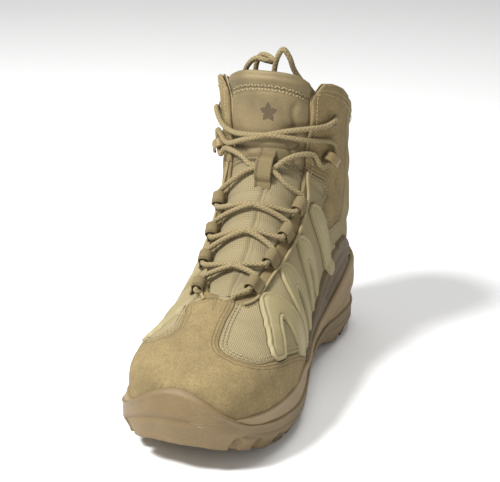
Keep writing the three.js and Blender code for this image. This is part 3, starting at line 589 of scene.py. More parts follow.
def shade(graph, colour, dark, light, fine=900, broad=28):
    """The colour with broad blotches and fine specks."""
    blotch = graph.ramp(graph.noise(broad, 4), .3, .7)
    made = graph.mix(blotch, tone(colour, dark), tone(colour, light))
    speck = graph.ramp(graph.noise(fine, 2), .35, .65)
    return graph.mix(graph.math("MULTIPLY", speck, .35), made, tone(colour, dark * .8))


def upper_material(look):
    """Suede, woven cloth, smooth eyestay and heel wing, chosen by each panel's edge distance; the moulded
    ribs' edge distance only sets the line round them.
    """
    g = Graph("upper panels")
    suede, mould = g.value("suede"), g.value("mould")
    stay, wing = g.value("stay"), g.value("wing")
    on = lambda d: g.ramp(d, -.15, .15)
    weave = g.weave(.00135)
    knit = g.weave(.0017, lean=.5)
    cloth = g.mix(weave, tone(look.cloth, .55), tone(look.cloth, 1.12))
    cloth = g.mix(g.math("MULTIPLY", g.ramp(g.noise(45, 4), .35, .7), .25), cloth,
                  tone(look.cloth, .75))
    nap = shade(g, look.suede, .86, 1.12, 1300, 70)
    nap = g.mix(g.math("MULTIPLY", g.ramp(g.noise(90, 5, rough=.7), .5, .72), .3), nap,
                tone(look.suede, .66))
    nap = g.mix(g.math("MULTIPLY", g.ramp(g.noise(620, 4, rough=.75), .42, .62), .5), nap,
                tone(look.suede, .56))
    # Painted shade darkens the toe's sides, underside and a patch on its outer side.
    nap = g.mix(g.math("MULTIPLY", g.value("toe_shade"), 1.0), nap, tone(look.suede, .45))
    smooth = shade(g, look.eyestay, .86, 1.08, 700, 60)
    # The heel wing's colour carries painted shade.
    rubber = shade(g, look.wing, .85, 1.1, 900, 40)
    colour = g.mix(on(suede), cloth, nap)
    colour = g.mix(on(stay), colour, smooth)
    colour = g.mix(on(wing), colour, rubber)
    line = lambda d, at, half: g.math("SUBTRACT", 1.0, g.ramp(g.math("ABSOLUTE", g.math(
        "SUBTRACT", d, at)), half * .3, half))
    # Seam lines just outside the suede panels, ribs and heel wing, darkened: partly the panels' seams,
    # partly painted shade at the foot of their raised edges.
    seam_and_shade = g.math("MAXIMUM", line(suede, -.25, .5), line(mould, -.5, .7))
    seam_and_shade = g.math("MAXIMUM", seam_and_shade, line(wing, -.3, .6))
    # The flex slot is darkened as painted shadow in its groove.
    seam_and_shade = g.math("MAXIMUM", seam_and_shade, g.math("SUBTRACT", 1.0, g.ramp(g.value("slot"), 1.2, 2.2)))
    rows = g.math("MAXIMUM", line(suede, 2.2, .55), line(suede, 4.6, .55))
    colour = g.mix(g.math("MULTIPLY", rows, .42), colour, tone(look.suede, .4))
    colour = g.mix(g.math("MULTIPLY", seam_and_shade, .75), colour, tone(look.suede, .22))
    grain = g.math("ADD", g.math("MULTIPLY", g.noise(2400, 2), 1.1),
                   g.math("MULTIPLY", g.noise(620, 4, rough=.75), 1.6))
    height = g.blend(on(suede), g.math("MULTIPLY", g.blend(.35, weave, knit), 1.25), grain)
    height = g.blend(on(stay), height, g.math("MULTIPLY", g.noise(900, 3), .35))
    height = g.blend(on(wing), height, g.math("MULTIPLY", g.noise(1300, 3), .3))
    height = g.math("SUBTRACT", height, g.math("MULTIPLY", g.math("MAXIMUM", seam_and_shade, rows), .9))
    rough = g.blend(on(suede), .88, .96)
    rough = g.blend(on(stay), rough, .62)
    rough = g.blend(on(wing), rough, .6)
    return g.done(colour, rough, height, .00038, .9, Specular_IOR_Level=.3)


def cloth_material(name, colour, pitch, lean=0.0, depth=.0004, dark=.55):
    """Woven cloth: dark between the threads, with soft worn patches."""
    g = Graph(name)
    weave = g.weave(pitch, lean=lean)
    made = g.mix(weave, tone(colour, dark), tone(colour, 1.1))
    made = g.mix(g.math("MULTIPLY", g.ramp(g.noise(60, 4), .35, .7), .3), made, tone(colour, .72))
    return g.done(made, .92, weave, depth, 1.0, Specular_IOR_Level=.25)


def tongue_material(look):
    """Woven lower part, smooth supple top panel and a welt between them; the seam lines are darkened as
    painted shade.
    """
    g = Graph("tongue cloth and leather")
    weave = g.weave(.0015)
    cloth = g.mix(weave, tone(look.cloth, .5), tone(look.cloth, 1.02))
    leather = shade(g, look.leather, .72, 1.12, 1200, 34)
    top = g.ramp(g.value("leather"), -.2, .2)
    mark = g.ramp(g.value("badge"), -.15, .15)
    colour = g.mix(top, cloth, leather)
    colour = g.mix(g.math("MULTIPLY", mark, .8), colour, tone(look.badge))
    # Painted shade along the seam lines.
    colour = g.mix(g.math("MULTIPLY", g.value("seam_and_shade"), .6), colour, tone(look.cloth, .3))
    grain = g.math("ADD", g.math("MULTIPLY", g.cells(900), .5), g.math("MULTIPLY", g.noise(300, 3), .4))
    height = g.blend(top, g.math("MULTIPLY", weave, 1.3), grain)
    return g.done(colour, g.blend(top, .9, .6), height, .00035, .8, Specular_IOR_Level=.35)


def grain_material(name, colour, rough=.6, dark=.85, light=1.08, fine=1100, depth=.00012, metal=0.0,
                   spec=.35):
    """Plain moulded, painted or twisted finish with a fine grain."""
    g = Graph(name)
    height = g.math("ADD", g.noise(fine, 3), g.math("MULTIPLY", g.noise(160, 4), .5))
    made = shade(g, colour, dark, light, fine * .6, 22)
    return g.done(made, rough, height, depth, .7, Metallic=metal, Specular_IOR_Level=spec)


def lace_material(look):
    """Round braid: two families of slanting threads crossing on the cord, light and dark flecks."""
    g = Graph("lace braid")
    split = g.node("ShaderNodeSeparateXYZ", None, Vector=g.lengths())
    u = g.math("MULTIPLY", split.outputs[0], math.pi / .0016)
    v = g.math("MULTIPLY", split.outputs[1], math.pi / .0016)
    one = g.math("SINE", g.math("ADD", u, v))
    two = g.math("SINE", g.math("SUBTRACT", u, v))
    height = g.math("MAXIMUM", one, two)
    share = g.ramp(height, -.1, 1.0)
    colour = g.mix(share, tone(look.lace, .7), tone(look.lace, 1.08))
    fleck = g.math("MULTIPLY", g.ramp(one, .2, .9), g.ramp(g.noise(380, 2), .48, .56))
    colour = g.mix(g.math("MULTIPLY", fleck, .3), colour, tone(look.lace, 1.35))
    return g.done(colour, .85, share, .0003, 1.0, Specular_IOR_Level=.25)


def material_for(name):
    """The material of that name, made once from the current look settings."""
    name += " look"
    found = bpy.data.materials.get(name)
    if found:
        return found
    look = bpy.context.scene.boot_look
    makers = {
        "upper panels": lambda: upper_material(look),
        "tongue cloth and leather": lambda: tongue_material(look),
        "lace braid": lambda: lace_material(look),
        "webbing": lambda: cloth_material(name, look.webbing, .0011, 1.0, .0003),
        "knit lining": lambda: cloth_material(name, look.lining, .0016, .4, .0003, .75),
        "thread": lambda: grain_material(name, look.thread, .8, .8, 1.1, 2200, .0001),
        "piping": lambda: grain_material(name, look.piping, .55, .9, 1.08, 1500, .00008),
        "moulded ribs": lambda: grain_material(name, look.moulded, .5, .88, 1.06, 1500, .0001),
        "rubber": lambda: grain_material(name, look.rubber, .56, .86, 1.08, 1300, .00012),
        "midsole": lambda: grain_material(name, look.midsole, .6, .92, 1.05, 1500, .0001),
        "hook paint": lambda: grain_material(name, look.hook, .42, .9, 1.08, 500, .00005),
        "ring plate": lambda: grain_material(name, look.ring, .4, .85, 1.1, 500, .00004, .55),
    }
    made = makers[name.removesuffix(" look")]()
    made.name = name
    return made


# ---------------------------------------------------------------- settings
def colour_setting(name, text, colour):
    """One colour setting, in linear values."""
    return bpy.props.FloatVectorProperty(name=name, description=text, subtype="COLOR", size=3,
                                         min=0, max=1, default=colour)


class BootLook(bpy.types.PropertyGroup):
    cloth: colour_setting("Cloth", "Woven panels", (0.355, 0.29, 0.16))
    suede: colour_setting("Suede", "Toe cap and ankle panels", (0.285, 0.212, 0.1))
    moulded: colour_setting("Moulded ribs", "Raised side ribs", (0.32, 0.265, 0.135))
    eyestay: colour_setting("Eyestay", "Smooth panel beside the laces", (0.2, 0.148, 0.068))
    # The heel wing's colour is darker than the wing's own tone: partly its own dark rubber, partly painted
    # shade.
    wing: colour_setting("Heel wing", "Moulded heel counter", (0.11, 0.078, 0.036))
    leather: colour_setting("Tongue top", "Supple panel at the top of the tongue", (0.205, 0.155, 0.075))
    badge: colour_setting("Badge", "Plain printed mark on the tongue", (0.07, 0.045, 0.025))
    lining: colour_setting("Lining", "Knit lining and collar", (0.5, 0.42, 0.26))
    webbing: colour_setting("Webbing", "Lace eyes and keeper", (0.26, 0.2, 0.1))
    lace: colour_setting("Lace", "Braided lace", (0.275, 0.215, 0.112))
    thread: colour_setting("Thread", "Stitches", (0.42, 0.34, 0.19))
    piping: colour_setting("Piping", "Thin raised line beside the eyestay", (0.3, 0.235, 0.118))
    rubber: colour_setting("Rubber", "Outsole and toe bumper", (0.19, 0.132, 0.062))
    midsole: colour_setting("Midsole", "Pale strip above the outsole", (0.265, 0.192, 0.1))
    hook: colour_setting("Hooks", "Painted speed hooks", (0.24, 0.17, 0.075))
    ring: colour_setting("Rings", "Eyelet rings", (0.2, 0.145, 0.08))


class BootSizes(bpy.types.PropertyGroup):
    panel: bpy.props.FloatProperty(name="Panel thickness", description="Rise of a suede panel",
                                   default=.0010, min=0, max=.003, unit="LENGTH")
    rib: bpy.props.FloatProperty(name="Rib height", description="Rise of the moulded side ribs",
                                 default=.0021, min=0, max=.004, unit="LENGTH")
    stitch: bpy.props.FloatProperty(name="Stitch pitch", description="From one stitch to the next",
                                    default=.0031, min=.002, max=.008, unit="LENGTH")
    crease: bpy.props.FloatProperty(name="Crease depth", description="Share of the full crease depth",
                                    default=1.0, min=0, max=2)


# ---------------------------------------------------------------- upper
def throat_share(s, side):
    """Where the throat edge lies at station s; zero below the throat."""
    column = 1 if side > 0 else 2
    v = np.interp(s, THROAT_EDGE[:, 0], THROAT_EDGE[:, column])
    start = THROAT_EDGE[0, 0]
    return np.where(s < start - .18, 0, np.where(
        s < start, THROAT_EDGE[0, column] * np.sqrt(np.clip((s - start + .18) / .18, 0, 1)), v))


def collar_station(v):
    """Station at which the form meets the collar line, for each share v."""
    low, high = np.full(v.shape, 12.0), np.full(v.shape, 18.99)
    for _ in range(30):
        mid = (low + high) / 2
        p = upper_point(mid, v)
        over = p[..., 2] > np.interp(p[..., 0], COLLAR_LINE[:, 0], COLLAR_LINE[:, 1])
        high, low = np.where(over, mid, high), np.where(over, low, mid)
    return low


def skin_grid(side, rows, columns, edge=0.0):
    """Station and share grids of one side, following the throat edge and the collar line."""
    b = np.linspace(0, 1, columns)
    a = np.linspace(0, 1, rows)
    a = a + .035 * np.sin(2 * math.pi * a) / (2 * math.pi)
    top_v = np.interp(18.0, THROAT_EDGE[:, 0], THROAT_EDGE[:, 1 if side > 0 else 2])
    top = collar_station(side * (top_v + (1 - top_v) * b))
    top = top - .55 * np.clip(1 - b / .13, 0, 1) ** 2.2
    s = a[:, None] * (top[None] - edge) + .02
    start = throat_share(s, side)
    v = start + (1 - start) * b[None]
    return s, side * np.maximum(v, 1e-4)


def relief(s, v, side, sizes):
    """Rise of the upper's surface over its plain form, and each panel's edge distance."""
    p = upper_point(s, v)
    suede_line = SUEDE_INNER if side > 0 else SUEDE_OUTER
    suede = np.maximum(panel_depth(s, v, p, suede_line, side), panel_depth(s, v, p, ANKLE_PANEL, side))
    mould = np.max([panel_depth(s, v, p, c, side) for c in CHEVRONS], axis=0)
    stay = panel_depth(s, v, p, EYESTAY, side)
    wing = panel_depth(s, v, p, HEEL_WING, side)
    rise = sizes.panel * 1000 * ease(suede / 1.0) + .5 * ease(stay / 1.0)
    near = lambda points, count=60: line_distance(p, upper_point(*(
        lambda c: (c[:, 0], side * np.maximum(c[:, 1], 1e-4)))(smooth_path(points, count))))[0]
    wing_line = np.min([near(c) for c in WING_LINES], axis=0)
    rise += 2.3 * ease((wing + .5) / 2.2) - 1.1 * bump(wing_line, 1.6) * (wing > 0)
    ribs = np.min([near(c) for c in RIBS], axis=0)
    rise += 1.2 * bump(ribs, 2.2) * (suede < 0) * (mould < 0)
    slot = near(FLEX_SLOT)
    rise -= 2.6 * ease((2.4 - slot) / 1.2)
    rear = ease((np.abs(v) - .63) / .05) * ease((s - 14.6) / .8)
    rise += .9 * rear * (.6 + .4 * np.cos(s * 9.5))
    collar = ease((s - 17.0) / .8) * ease((np.abs(v) - .3) / .04)
    rise += 1.0 * collar
    for s0, v0, s1, v1, only, width, depth in CREASES:
        if only and only != side:
            continue
        d = near([(s0, v0), ((s0 + s1) / 2, (v0 + v1) / 2 + .01), (s1, v1)], 20)
        away = p - upper_point((s0 + s1) / 2, side * (v0 + v1) / 2)
        reach = np.linalg.norm(upper_point(s0, side * v0) - upper_point(s1, side * v1)) / 2 + 1
        fade = np.clip(1.25 - np.linalg.norm(away, axis=1) / reach, 0, 1)
        rise += sizes.crease * depth * fade * (-bump(d, width / 2) + .5 * bump(d - width * .9, width / 2))
    wave = (np.sin(s * 3.1 + 4 * v) * np.sin(s * 1.7 + 9 * np.abs(v) + 1)
            + .6 * np.sin(s * 5.3 - 7 * v) * np.sin(11 * np.abs(v)))
    rise += .35 * wave * ease((np.abs(v) - .02) / .1) * (wing < 0)
    # Painted shade: the toe is a little darker at its front on the sides and underside, with a darker
    # patch on the outer side.
    toe_shade = ease((2.6 - s) / 1.2) * ease((np.abs(v) - .1) / .2) * .16
    toe_shade = toe_shade + .35 * bump(s - 1.7, .7) * bump(v + .33, .17)
    return rise, {"suede": suede, "mould": mould, "stay": stay, "wing": wing, "toe_shade": toe_shade,
                  "slot": slot}


def rolled(rise, s, v, side, top, thick):
    """Draws the skin in to half its thickness at the throat edge and collar, as a rounded edge."""
    start = throat_share(s, side)
    p = upper_point(s, v)
    gap_v = np.linalg.norm(p - upper_point(s, side * np.maximum(start, 1e-4)), axis=-1)
    gap_v = np.where(s > THROAT_EDGE[0, 0] - .18, gap_v, 99)
    gap_s = np.abs(top - s) * 26
    gap = np.minimum(gap_v, gap_s)
    r = thick
    f = np.clip(gap / r, 0, 1)
    return rise - r * (1 - np.sqrt(1 - (1 - f) ** 2))


def rim_strip(pick, columns, ring, base):
    """Quads that close the last row: each outer column to the nearest folded inner column."""
    near = columns + np.abs(np.arange(columns)[:, None] - pick[None]).argmin(1)
    a = np.arange(columns - 1)
    return np.stack([a, a + 1, near[1:], near[:-1]], -1) + base


def upper_skin():
    """Outer skin with its relief and, folded back inside it, a thin inner skin. Each section is a
    closed loop round both skins; where the two sides touch, along the front below the throat and
    down the back, the loops are joined and the walls between them left out."""
    sizes = bpy.context.scene.boot_sizes
    rows, columns, inner = 300, 132, 14
    ring = columns + inner
    sides, relief_of, fold = {}, {}, np.linspace(1, 0, inner)
    for side in (1, -1):
        s, v = skin_grid(side, rows, columns)
        joined = s[:, 0] < THROAT_EDGE[0, 0] - .18
        v[joined, 0] = 0
        v[:, -1] = side
        rise, marks = relief(s.ravel(), v.ravel(), side, sizes)
        top = np.broadcast_to(s[-1], s.shape)
        rise = rolled(rise.reshape(s.shape), s, v, side, top, 1.7)
        sides[side], relief_of[side] = (s, v, marks), rise
    back = sides[1][0][:, -1] > 14.4
    for column, rows_joined in ((0, joined), (-1, back)):
        mean = (relief_of[1][:, column] + relief_of[-1][:, column]) / 2
        for side in (1, -1):
            relief_of[side][rows_joined, column] = mean[rows_joined]
    points, faces, uvs, values = [], [], [], {}
    for side in (1, -1):
        s, v, marks = sides[side]
        pick = np.rint(fold * (columns - 1)).astype(int)
        front = upper_point(s, v, relief_of[side])
        shrink = -1.8 + 1.5 * np.clip(1 - np.arange(rows)[::-1] / 3, 0, 1)[:, None]
        behind = upper_point(s[:, pick], v[:, pick], np.broadcast_to(shrink, (rows, inner)))
        loop = np.concatenate([front, behind], axis=1)
        quads = grid_faces(rows, ring, wrap=True, start=len(points) * rows * ring)
        row, col = np.divmod(np.arange(len(quads)), ring)
        drop = ((col == ring - 1) & joined[row] & joined[row + 1]) | (
            (col == columns - 1) & back[row] & back[row + 1])
        faces.append(quads[~drop])
        faces.append(rim_strip(pick, columns, ring, len(points) * rows * ring + (rows - 1) * ring))
        points.append(loop.reshape(-1, 3))
        along = np.cumsum(np.linalg.norm(np.diff(front, axis=0, prepend=front[:1]), axis=-1), axis=0)
        around = np.cumsum(np.linalg.norm(np.diff(front, axis=1, prepend=front[:, :1]), axis=-1), axis=1)
        uv = np.stack([along, side * around], -1)
        uvs.append(np.concatenate([uv, uv[:, pick]], axis=1).reshape(-1, 2))
        for key, data in marks.items():
            data = data.reshape(rows, columns)
            values.setdefault(key, []).append(np.concatenate([data, data[:, pick]], axis=1).ravel())
    return (np.concatenate(points), np.concatenate(faces), np.concatenate(uvs),
            {key: np.concatenate(data) for key, data in values.items()})


def rib_patch(outline, side, sizes):
    """One moulded rib as a closed slab with a steep edge, a flat face and an engraved inner line.
    The slab is a fine grid over the rib's own range; beyond the edge it sinks below the skin."""
    outline = np.array(outline)
    (s0, v0), (s1, v1) = outline.min(0) - [.1, .012], outline.max(0) + [.1, .012]
    rows, columns = 100, 84
    s = np.linspace(s0, s1, rows)[:, None] + np.zeros((1, columns))
    v = np.linspace(v0, v1, columns)[None] + np.zeros((rows, 1))
    cs, cv = np.linspace(s0, s1, 50), np.linspace(v0, v1, 40)
    gs, gv = np.meshgrid(cs, cv, indexing="ij")
    coarse = relief(gs.ravel(), side * gv.ravel(), side, sizes)[0].reshape(50, 40)
    part = np.stack([np.interp(s[:, 0], cs, coarse[:, k]) for k in range(40)], 1)
    skin = np.stack([np.interp(v[0], cv, part[k]) for k in range(rows)])
    p = upper_point(s, side * v).reshape(-1, 3)
    deep = panel_depth(s.ravel(), v.ravel(), p, outline.tolist(), side).reshape(s.shape)
    rise = skin - 1.1 + (1.1 + sizes.rib * 1000) * ease((deep + .5) / .9)
    rise = rise - .75 * bump(deep - 3.0, .55) + .35 * bump(deep - 1.1, .7)
    front = upper_point(s, side * v, rise)
    points, faces = two_skins(front, upper_point(s, side * v, -1.3))
    uv = np.stack([s * 18, v * 120], -1).reshape(-1, 2)
    return points, faces, np.concatenate([uv, uv])


class BOOT_OT_ribs(bpy.types.Operator):
    """Builds the moulded ribs on both sides"""
    bl_idname = "boot.ribs"
    bl_label = "Moulded ribs"

    def execute(self, context):
        sizes = context.scene.boot_sizes
        for side, name in ((1, "inner"), (-1, "outer")):
            points, faces, uv = many([rib_patch(c, side, sizes) for c in CHEVRONS])
            make_piece(f"moulded_ribs_{name}", points, faces, material_for("moulded ribs"), uv, None,
                       "suede", weld=False)
        return {"FINISHED"}


class BOOT_OT_upper(bpy.types.Operator):
    """Builds the upper's panels over its form, with creases, ribs and rolled edges"""
    bl_idname = "boot.upper"
    bl_label = "Upper"

    def execute(self, context):
        points, faces, uv, values = upper_skin()
        thing = make_piece("upper_skin", points, faces, material_for("upper panels"), uv, values,
                           "suede")
        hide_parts("upper", "heel_counter")
        lining()
        return {"FINISHED"}


def lining():
    """Padded knit lining: an inner skin from the collar down into the foot, plump at the collar."""
    parts = []
    for side in (1, -1):
        s, v = skin_grid(side, 120, 60)
        top = np.broadcast_to(s[-1], s.shape)
        start = throat_share(s, side)
        s2 = s - .015 + .03 * (1 - np.clip((top - s) / .25, 0, 1))
        inner = np.linalg.norm(upper_point(s, v) - upper_point(s, side * np.maximum(start, 1e-4)), axis=-1)
        plump = 2.6 * bump((top - s) - .55, .45) * ease((np.abs(v) - start) / .1)
        front = upper_point(s2, v, -1.5 - .4 * np.clip(inner / 3, 0, 1))
        back = upper_point(s2, v, -2.5 - 1.0 * ease((top - s) / .3) - plump)
        points, faces = two_skins(front, back)
        uv = np.stack([s * 22, np.abs(v) * 140], -1).reshape(-1, 2)
        parts.append((points, faces, np.concatenate([uv, uv])))
    points, faces, uv = many(parts)
    return make_piece("lining", points, faces, material_for("knit lining"), uv, None, "lining",
                      weld=False)


def side_line(points, side, count=200, out=0.0):
    """A panel line on one side, as 3-D points and surface normals."""
    c = smooth_path(points, count)
    s, v = c[:, 0], side * np.maximum(c[:, 1], 1e-3)
    return upper_point(s, v, out), normal_at(s, v)


def offset_line(points, side, shift, count=200, out=0.0):
    """The line moved sideways on the surface by shift millimetres."""
    p, n = side_line(points, side, count, out)
    t = np.gradient(p, axis=0)
    t /= np.linalg.norm(t, axis=1, keepdims=True)
    return p + np.cross(n, t) * shift * side, n


class BOOT_OT_trim(bpy.types.Operator):
    """Builds the piping beside the eyestay and the stitch rows"""
    bl_idname = "boot.trim"
    bl_label = "Trim"

    def execute(self, context):
        pitch = context.scene.boot_sizes.stitch * 1000
        rise = context.scene.boot_sizes.panel * 1000
        tubes = []
        for side in (1, -1):
            p, n = side_line(PIPING_LINE, side, 220, 1.7)
            tubes.append(sweep(p, circle(1.15, 10), n))
        make_piece("piping", *many(tubes)[:2], material_for("piping"), many(tubes)[2], None, "suede")
        rows = []
        for side in (1, -1):
            edge = (SUEDE_INNER if side > 0 else SUEDE_OUTER)[1:12]
            for shift in (2.2, 4.8):
                p, n = offset_line(edge, side, shift, 300, rise)
                rows.append(stitches(p, n, pitch))
            ankle = ANKLE_PANEL[1:12]
            for shift in (2.0, 4.2):
                p, n = offset_line(ankle, side, -shift, 260, rise + .1)
                rows.append(stitches(p, n, pitch))
            p, n = offset_line(PIPING_LINE, side, 2.2, 240, .45)
            rows.append(stitches(p, n, pitch * .9, 2.0))
            s = np.linspace(12.6, 17.6, 150)
            v = side * (throat_share(s, side) + .035)
            rows.append(stitches(upper_point(s, v, rise + .1), normal_at(s, v), pitch))
            v = side * np.linspace(throat_share(np.array([17.9]), side)[0] + .03, .99, 200)
            for drop in (.2, .36):
                s = collar_station(v) - drop
                rows.append(stitches(upper_point(s, v, rise + .9), normal_at(s, v), pitch))
        points, faces, uv = many(rows)
        make_piece("stitches", points, faces, material_for("thread"), None, None, "webbing")
        return {"FINISHED"}


# ---------------------------------------------------------------- tongue
TONGUE_HALF = .36
PADS = [6.95, 8.0, 9.05, 10.2, 11.6]


def tongue_rise(s, t):
    """Padded cells between the laces, a seam down the middle, dents and a roll at the top."""
    low = ease((12.05 - s) / .25)
    cell = np.abs(np.sin((np.interp(s, PADS, np.arange(len(PADS)))) * math.pi)) ** .7
    rise = low * (2.0 * cell * (1 - t ** 4) - .7)
    rise -= 1.1 * low * bump(t - .06, .035) + .5 * low * bump(t - .16, .03)
    welt = s - (12.15 + .28 * t ** 2)
    rise += 1.1 * bump(welt, .07) - .9 * bump(welt - .22, .1) - .9 * bump(welt + .2, .1)
    high = ease((s - 12.5) / .4)
    rise += high * (.9 * np.cos(t * 2.2) - 1.4 * bump(s - 13.4, .35) * bump(t + .35, .3)
                    - 1.8 * bump(s - 15.2, .5) * bump(t - .55, .2) - 1.6 * bump(s - 16.6, .5)
                    * bump(t + .5, .2) + .5 * np.sin(s * 2.3 + t * 3))
    ring = np.hypot((s - 15.4) / 2.0, t / .66) - 1
    rise += high * (-1.0 * bump(ring, .05) + .8 * bump(ring + .14, .1)) * ease((15.2 - s) / .5)
    rise -= high * (1.5 * bump(t - .5 - .06 * np.sin(s * 3), .07) + 1.1 * bump(t + .58 + .05 * s - .8, .06)
                    ) * ease((17 - s) / .5)
    rise += 1.9 * bump(s - 17.75, .2) - 1.2 * bump(s - 17.3, .12) - .6 * bump(s - 17.05, .1)
    return rise


def star_badge(s, t):
    """Millimetres inside a plain five-pointed mark in the middle of the top panel."""
    p = upper_point(s, t * TONGUE_HALF) - upper_point(15.9, 0.0)
    up = p[..., 2] * .93 + p[..., 0] * -.3
    side = p[..., 1]
    r, a = np.hypot(up, side), np.arctan2(side, up)
    return 8.5 * (.62 + .38 * np.cos(5 * a) ** 3 * .6) - r


class BOOT_OT_tongue(bpy.types.Operator):
    """Builds the padded tongue: woven cells below, supple panel and rolled binding above"""
    bl_idname = "boot.tongue"
    bl_label = "Tongue"

    def execute(self, context):
        rows, columns = 300, 110
        a = np.linspace(0, 1, rows)
        s = (5.25 + (18.2 - 5.25) * a)[:, None] + np.zeros((1, columns))
        t = np.linspace(-1, 1, columns)[None] + np.zeros((rows, 1))
        s = s - .55 * ease((s - 15) / 3) * t ** 4
        tight = ease((s - 6.6) / .6)
        span = TONGUE_HALF * (.55 + .45 * tight)
        v = np.where(np.abs(t) < 1e-6, 1e-6, t) * span
        throat = np.where(t > 0, throat_share(s, 1), throat_share(s, -1))
        free = ease((throat + .01 - np.abs(v)) / .03) * ease((s - 6.5) / .3)
        skin = -3.5 + 1.8 * free
        end = np.minimum(np.minimum((1 - np.abs(t)) / .07, (1 - a)[:, None] / .012), a[:, None] / .01)
        edge = 1 - np.sqrt(np.clip(1 - (1 - np.clip(end, 0, 1)) ** 2, 0, 1))
        rise = tongue_rise(s, t) * free
        thick = 6.0 * (1 - .6 * t ** 2)
        front = upper_point(s, v, skin + rise - edge * thick * .5)
        back = upper_point(s, v, -3.5 - thick + edge * thick * .5)
        points, faces = two_skins(front, back)
        along = np.cumsum(np.linalg.norm(np.diff(front, axis=0, prepend=front[:1]), axis=-1), axis=0)
        around = np.cumsum(np.linalg.norm(np.diff(front, axis=1, prepend=front[:, :1]), axis=-1), axis=1)
        uv = np.stack([along, around], -1).reshape(-1, 2)
        welt = (s - (12.15 + .28 * t ** 2)) * 13
        # Seam lines along the welt, down the middle, round the badge and under the top binding; the
        # material darkens them as painted shade.
        seam_and_shade = np.maximum(bump(np.abs(welt) - 1.2, .7), bump(t - .06, .012) * (welt < 0))
        ring = np.hypot((s - 15.4) / 2.0, t / .66) - 1
        seam_and_shade = np.maximum(seam_and_shade, bump(ring, .025) * ease((15.2 - s) / .5) * (welt > 4))
        seam_and_shade = np.maximum(seam_and_shade, .8 * bump(s - 17.3, .06))
        both = lambda q: np.concatenate([q.ravel()] * 2)
        thing = make_piece("tongue_skin", points, faces, material_for("tongue cloth and leather"),
                           np.concatenate([uv, uv]),
                           {"leather": both(welt), "badge": both(star_badge(s, t)),
                            "seam_and_shade": both(seam_and_shade)}, "textile")
        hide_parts("tongue")
        rows_ = []
        across = np.linspace(-.8, .8, 120)
        for height, lean in ((17.42, .7), (17.2, .7), (12.38, 0), (11.95, 0)):
            bow = .28 * across ** 2 if height < 13 else -.35 * ease((height - 15) / 3) * across ** 4
            at = height + bow
            lift = -1.7 + tongue_rise(at, across)
            v = across * TONGUE_HALF
            keep = np.abs(v) < .25
            p = upper_point(at[keep], v[keep], lift[keep] + .05)
            rows_.append(stitches(p, normal_at(at[keep], v[keep]), 2.6, 2.6, .85, .25, lean))
        points, faces, uv = many(rows_)
        make_piece("tongue_stitches", points, faces, material_for("thread"), None, None, "webbing")
        return {"FINISHED"}


# ---------------------------------------------------------------- hardware and lace
def seat_at(s, v, lift):
    """Seat on the form: place, inward (towards the throat), along the surface upwards, outward."""
    n = normal_at(np.array([s]), np.array([v]))[0]
    toward = upper_point(s, v * .97) - upper_point(s, v)
    toward = toward - n * toward.dot(n)
    toward /= np.linalg.norm(toward)
    up = np.cross(n, toward)
    if up[2] < 0:
        up = -up
    return upper_point(s, v) + n * lift, toward, up, n


def across_point(s, v, lift):
    """A lace point over the throat, lifted off the form."""
    return upper_point(s, v if abs(v) > 1e-6 else 1e-6, lift)


def lace_line(side):
    """The lace's line on one side: first hole, eyes and crossings, keeper, hook and top ring."""
    points = [across_point(*LACE_START[side])]
    for i, at in enumerate((side, -side, side, -side)):
        s, v = LOOP_SEATS[at][i]
        here, inward, up, _ = seat_at(s, at * v, EYE_LIFT)
        points += [here + up * e * EYE_HALF + inward * abs(e) * .2 for e in (-1, 0, 1)]
        if i == 3:
            points += [across_point(q[0], at * q[1], q[2]) for q in BY_KEEPER]
        points.append(across_point(LACE_CROSSINGS[i][0], 0, LACE_CROSSINGS[i][1]))
    points += [across_point(*q) for q in TO_HOOK[side]]
    here, inward, up, _ = seat_at(HOOK_SEATS[side][0], side * HOOK_SEATS[side][1], HOOK_LIFT)
    points += [here + inward * x + up * y for x, y in HOOK_PATH]
    points += [across_point(*q) for q in TO_EYELET[side]]
    s, v = RING_SEATS[-side]
    here, inward, up, n = seat_at(s, -side * v, 0)
    points += [here + n * 4.2 + inward * 3.2, here + n * 1.2 + inward * .2, here - n * 4.5]
    start = upper_point(LACE_START[side][0] - .02, LACE_START[side][1], -3.5)
    return centripetal([start] + points, 620)


class BOOT_OT_laces(bpy.types.Operator):
    """Builds the braided lace, from the vamp holes to the top rings, and its tucked ends"""
    bl_idname = "boot.laces"
    bl_label = "Laces"

    def execute(self, context):
        parts = [sweep(lace_line(side), circle(LACE_SIZE / 2, 14)) for side in (1, -1)]
        points, faces, uv = many(parts)
        thing = make_piece("lace", points, faces, material_for("lace braid"), uv, None, "webbing")
        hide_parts("lace_crossings")
        for side, name in ((1, "inner"), (-1, "outer")):
            path = centripetal(LACE_END_PATHS[side], 180)
            rings, faces, uv = sweep(path, circle(LACE_SIZE / 2, 14))
            end = make_piece(f"lace_end_{name}_side", rings, faces, material_for("lace braid"), uv,
                             None, "webbing")
            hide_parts("lace_end_medial" if side > 0 else "lace_end_lateral")
            line = place(path)
            length = float(np.linalg.norm(np.diff(line, axis=0), axis=1).sum())
        return {"FINISHED"}


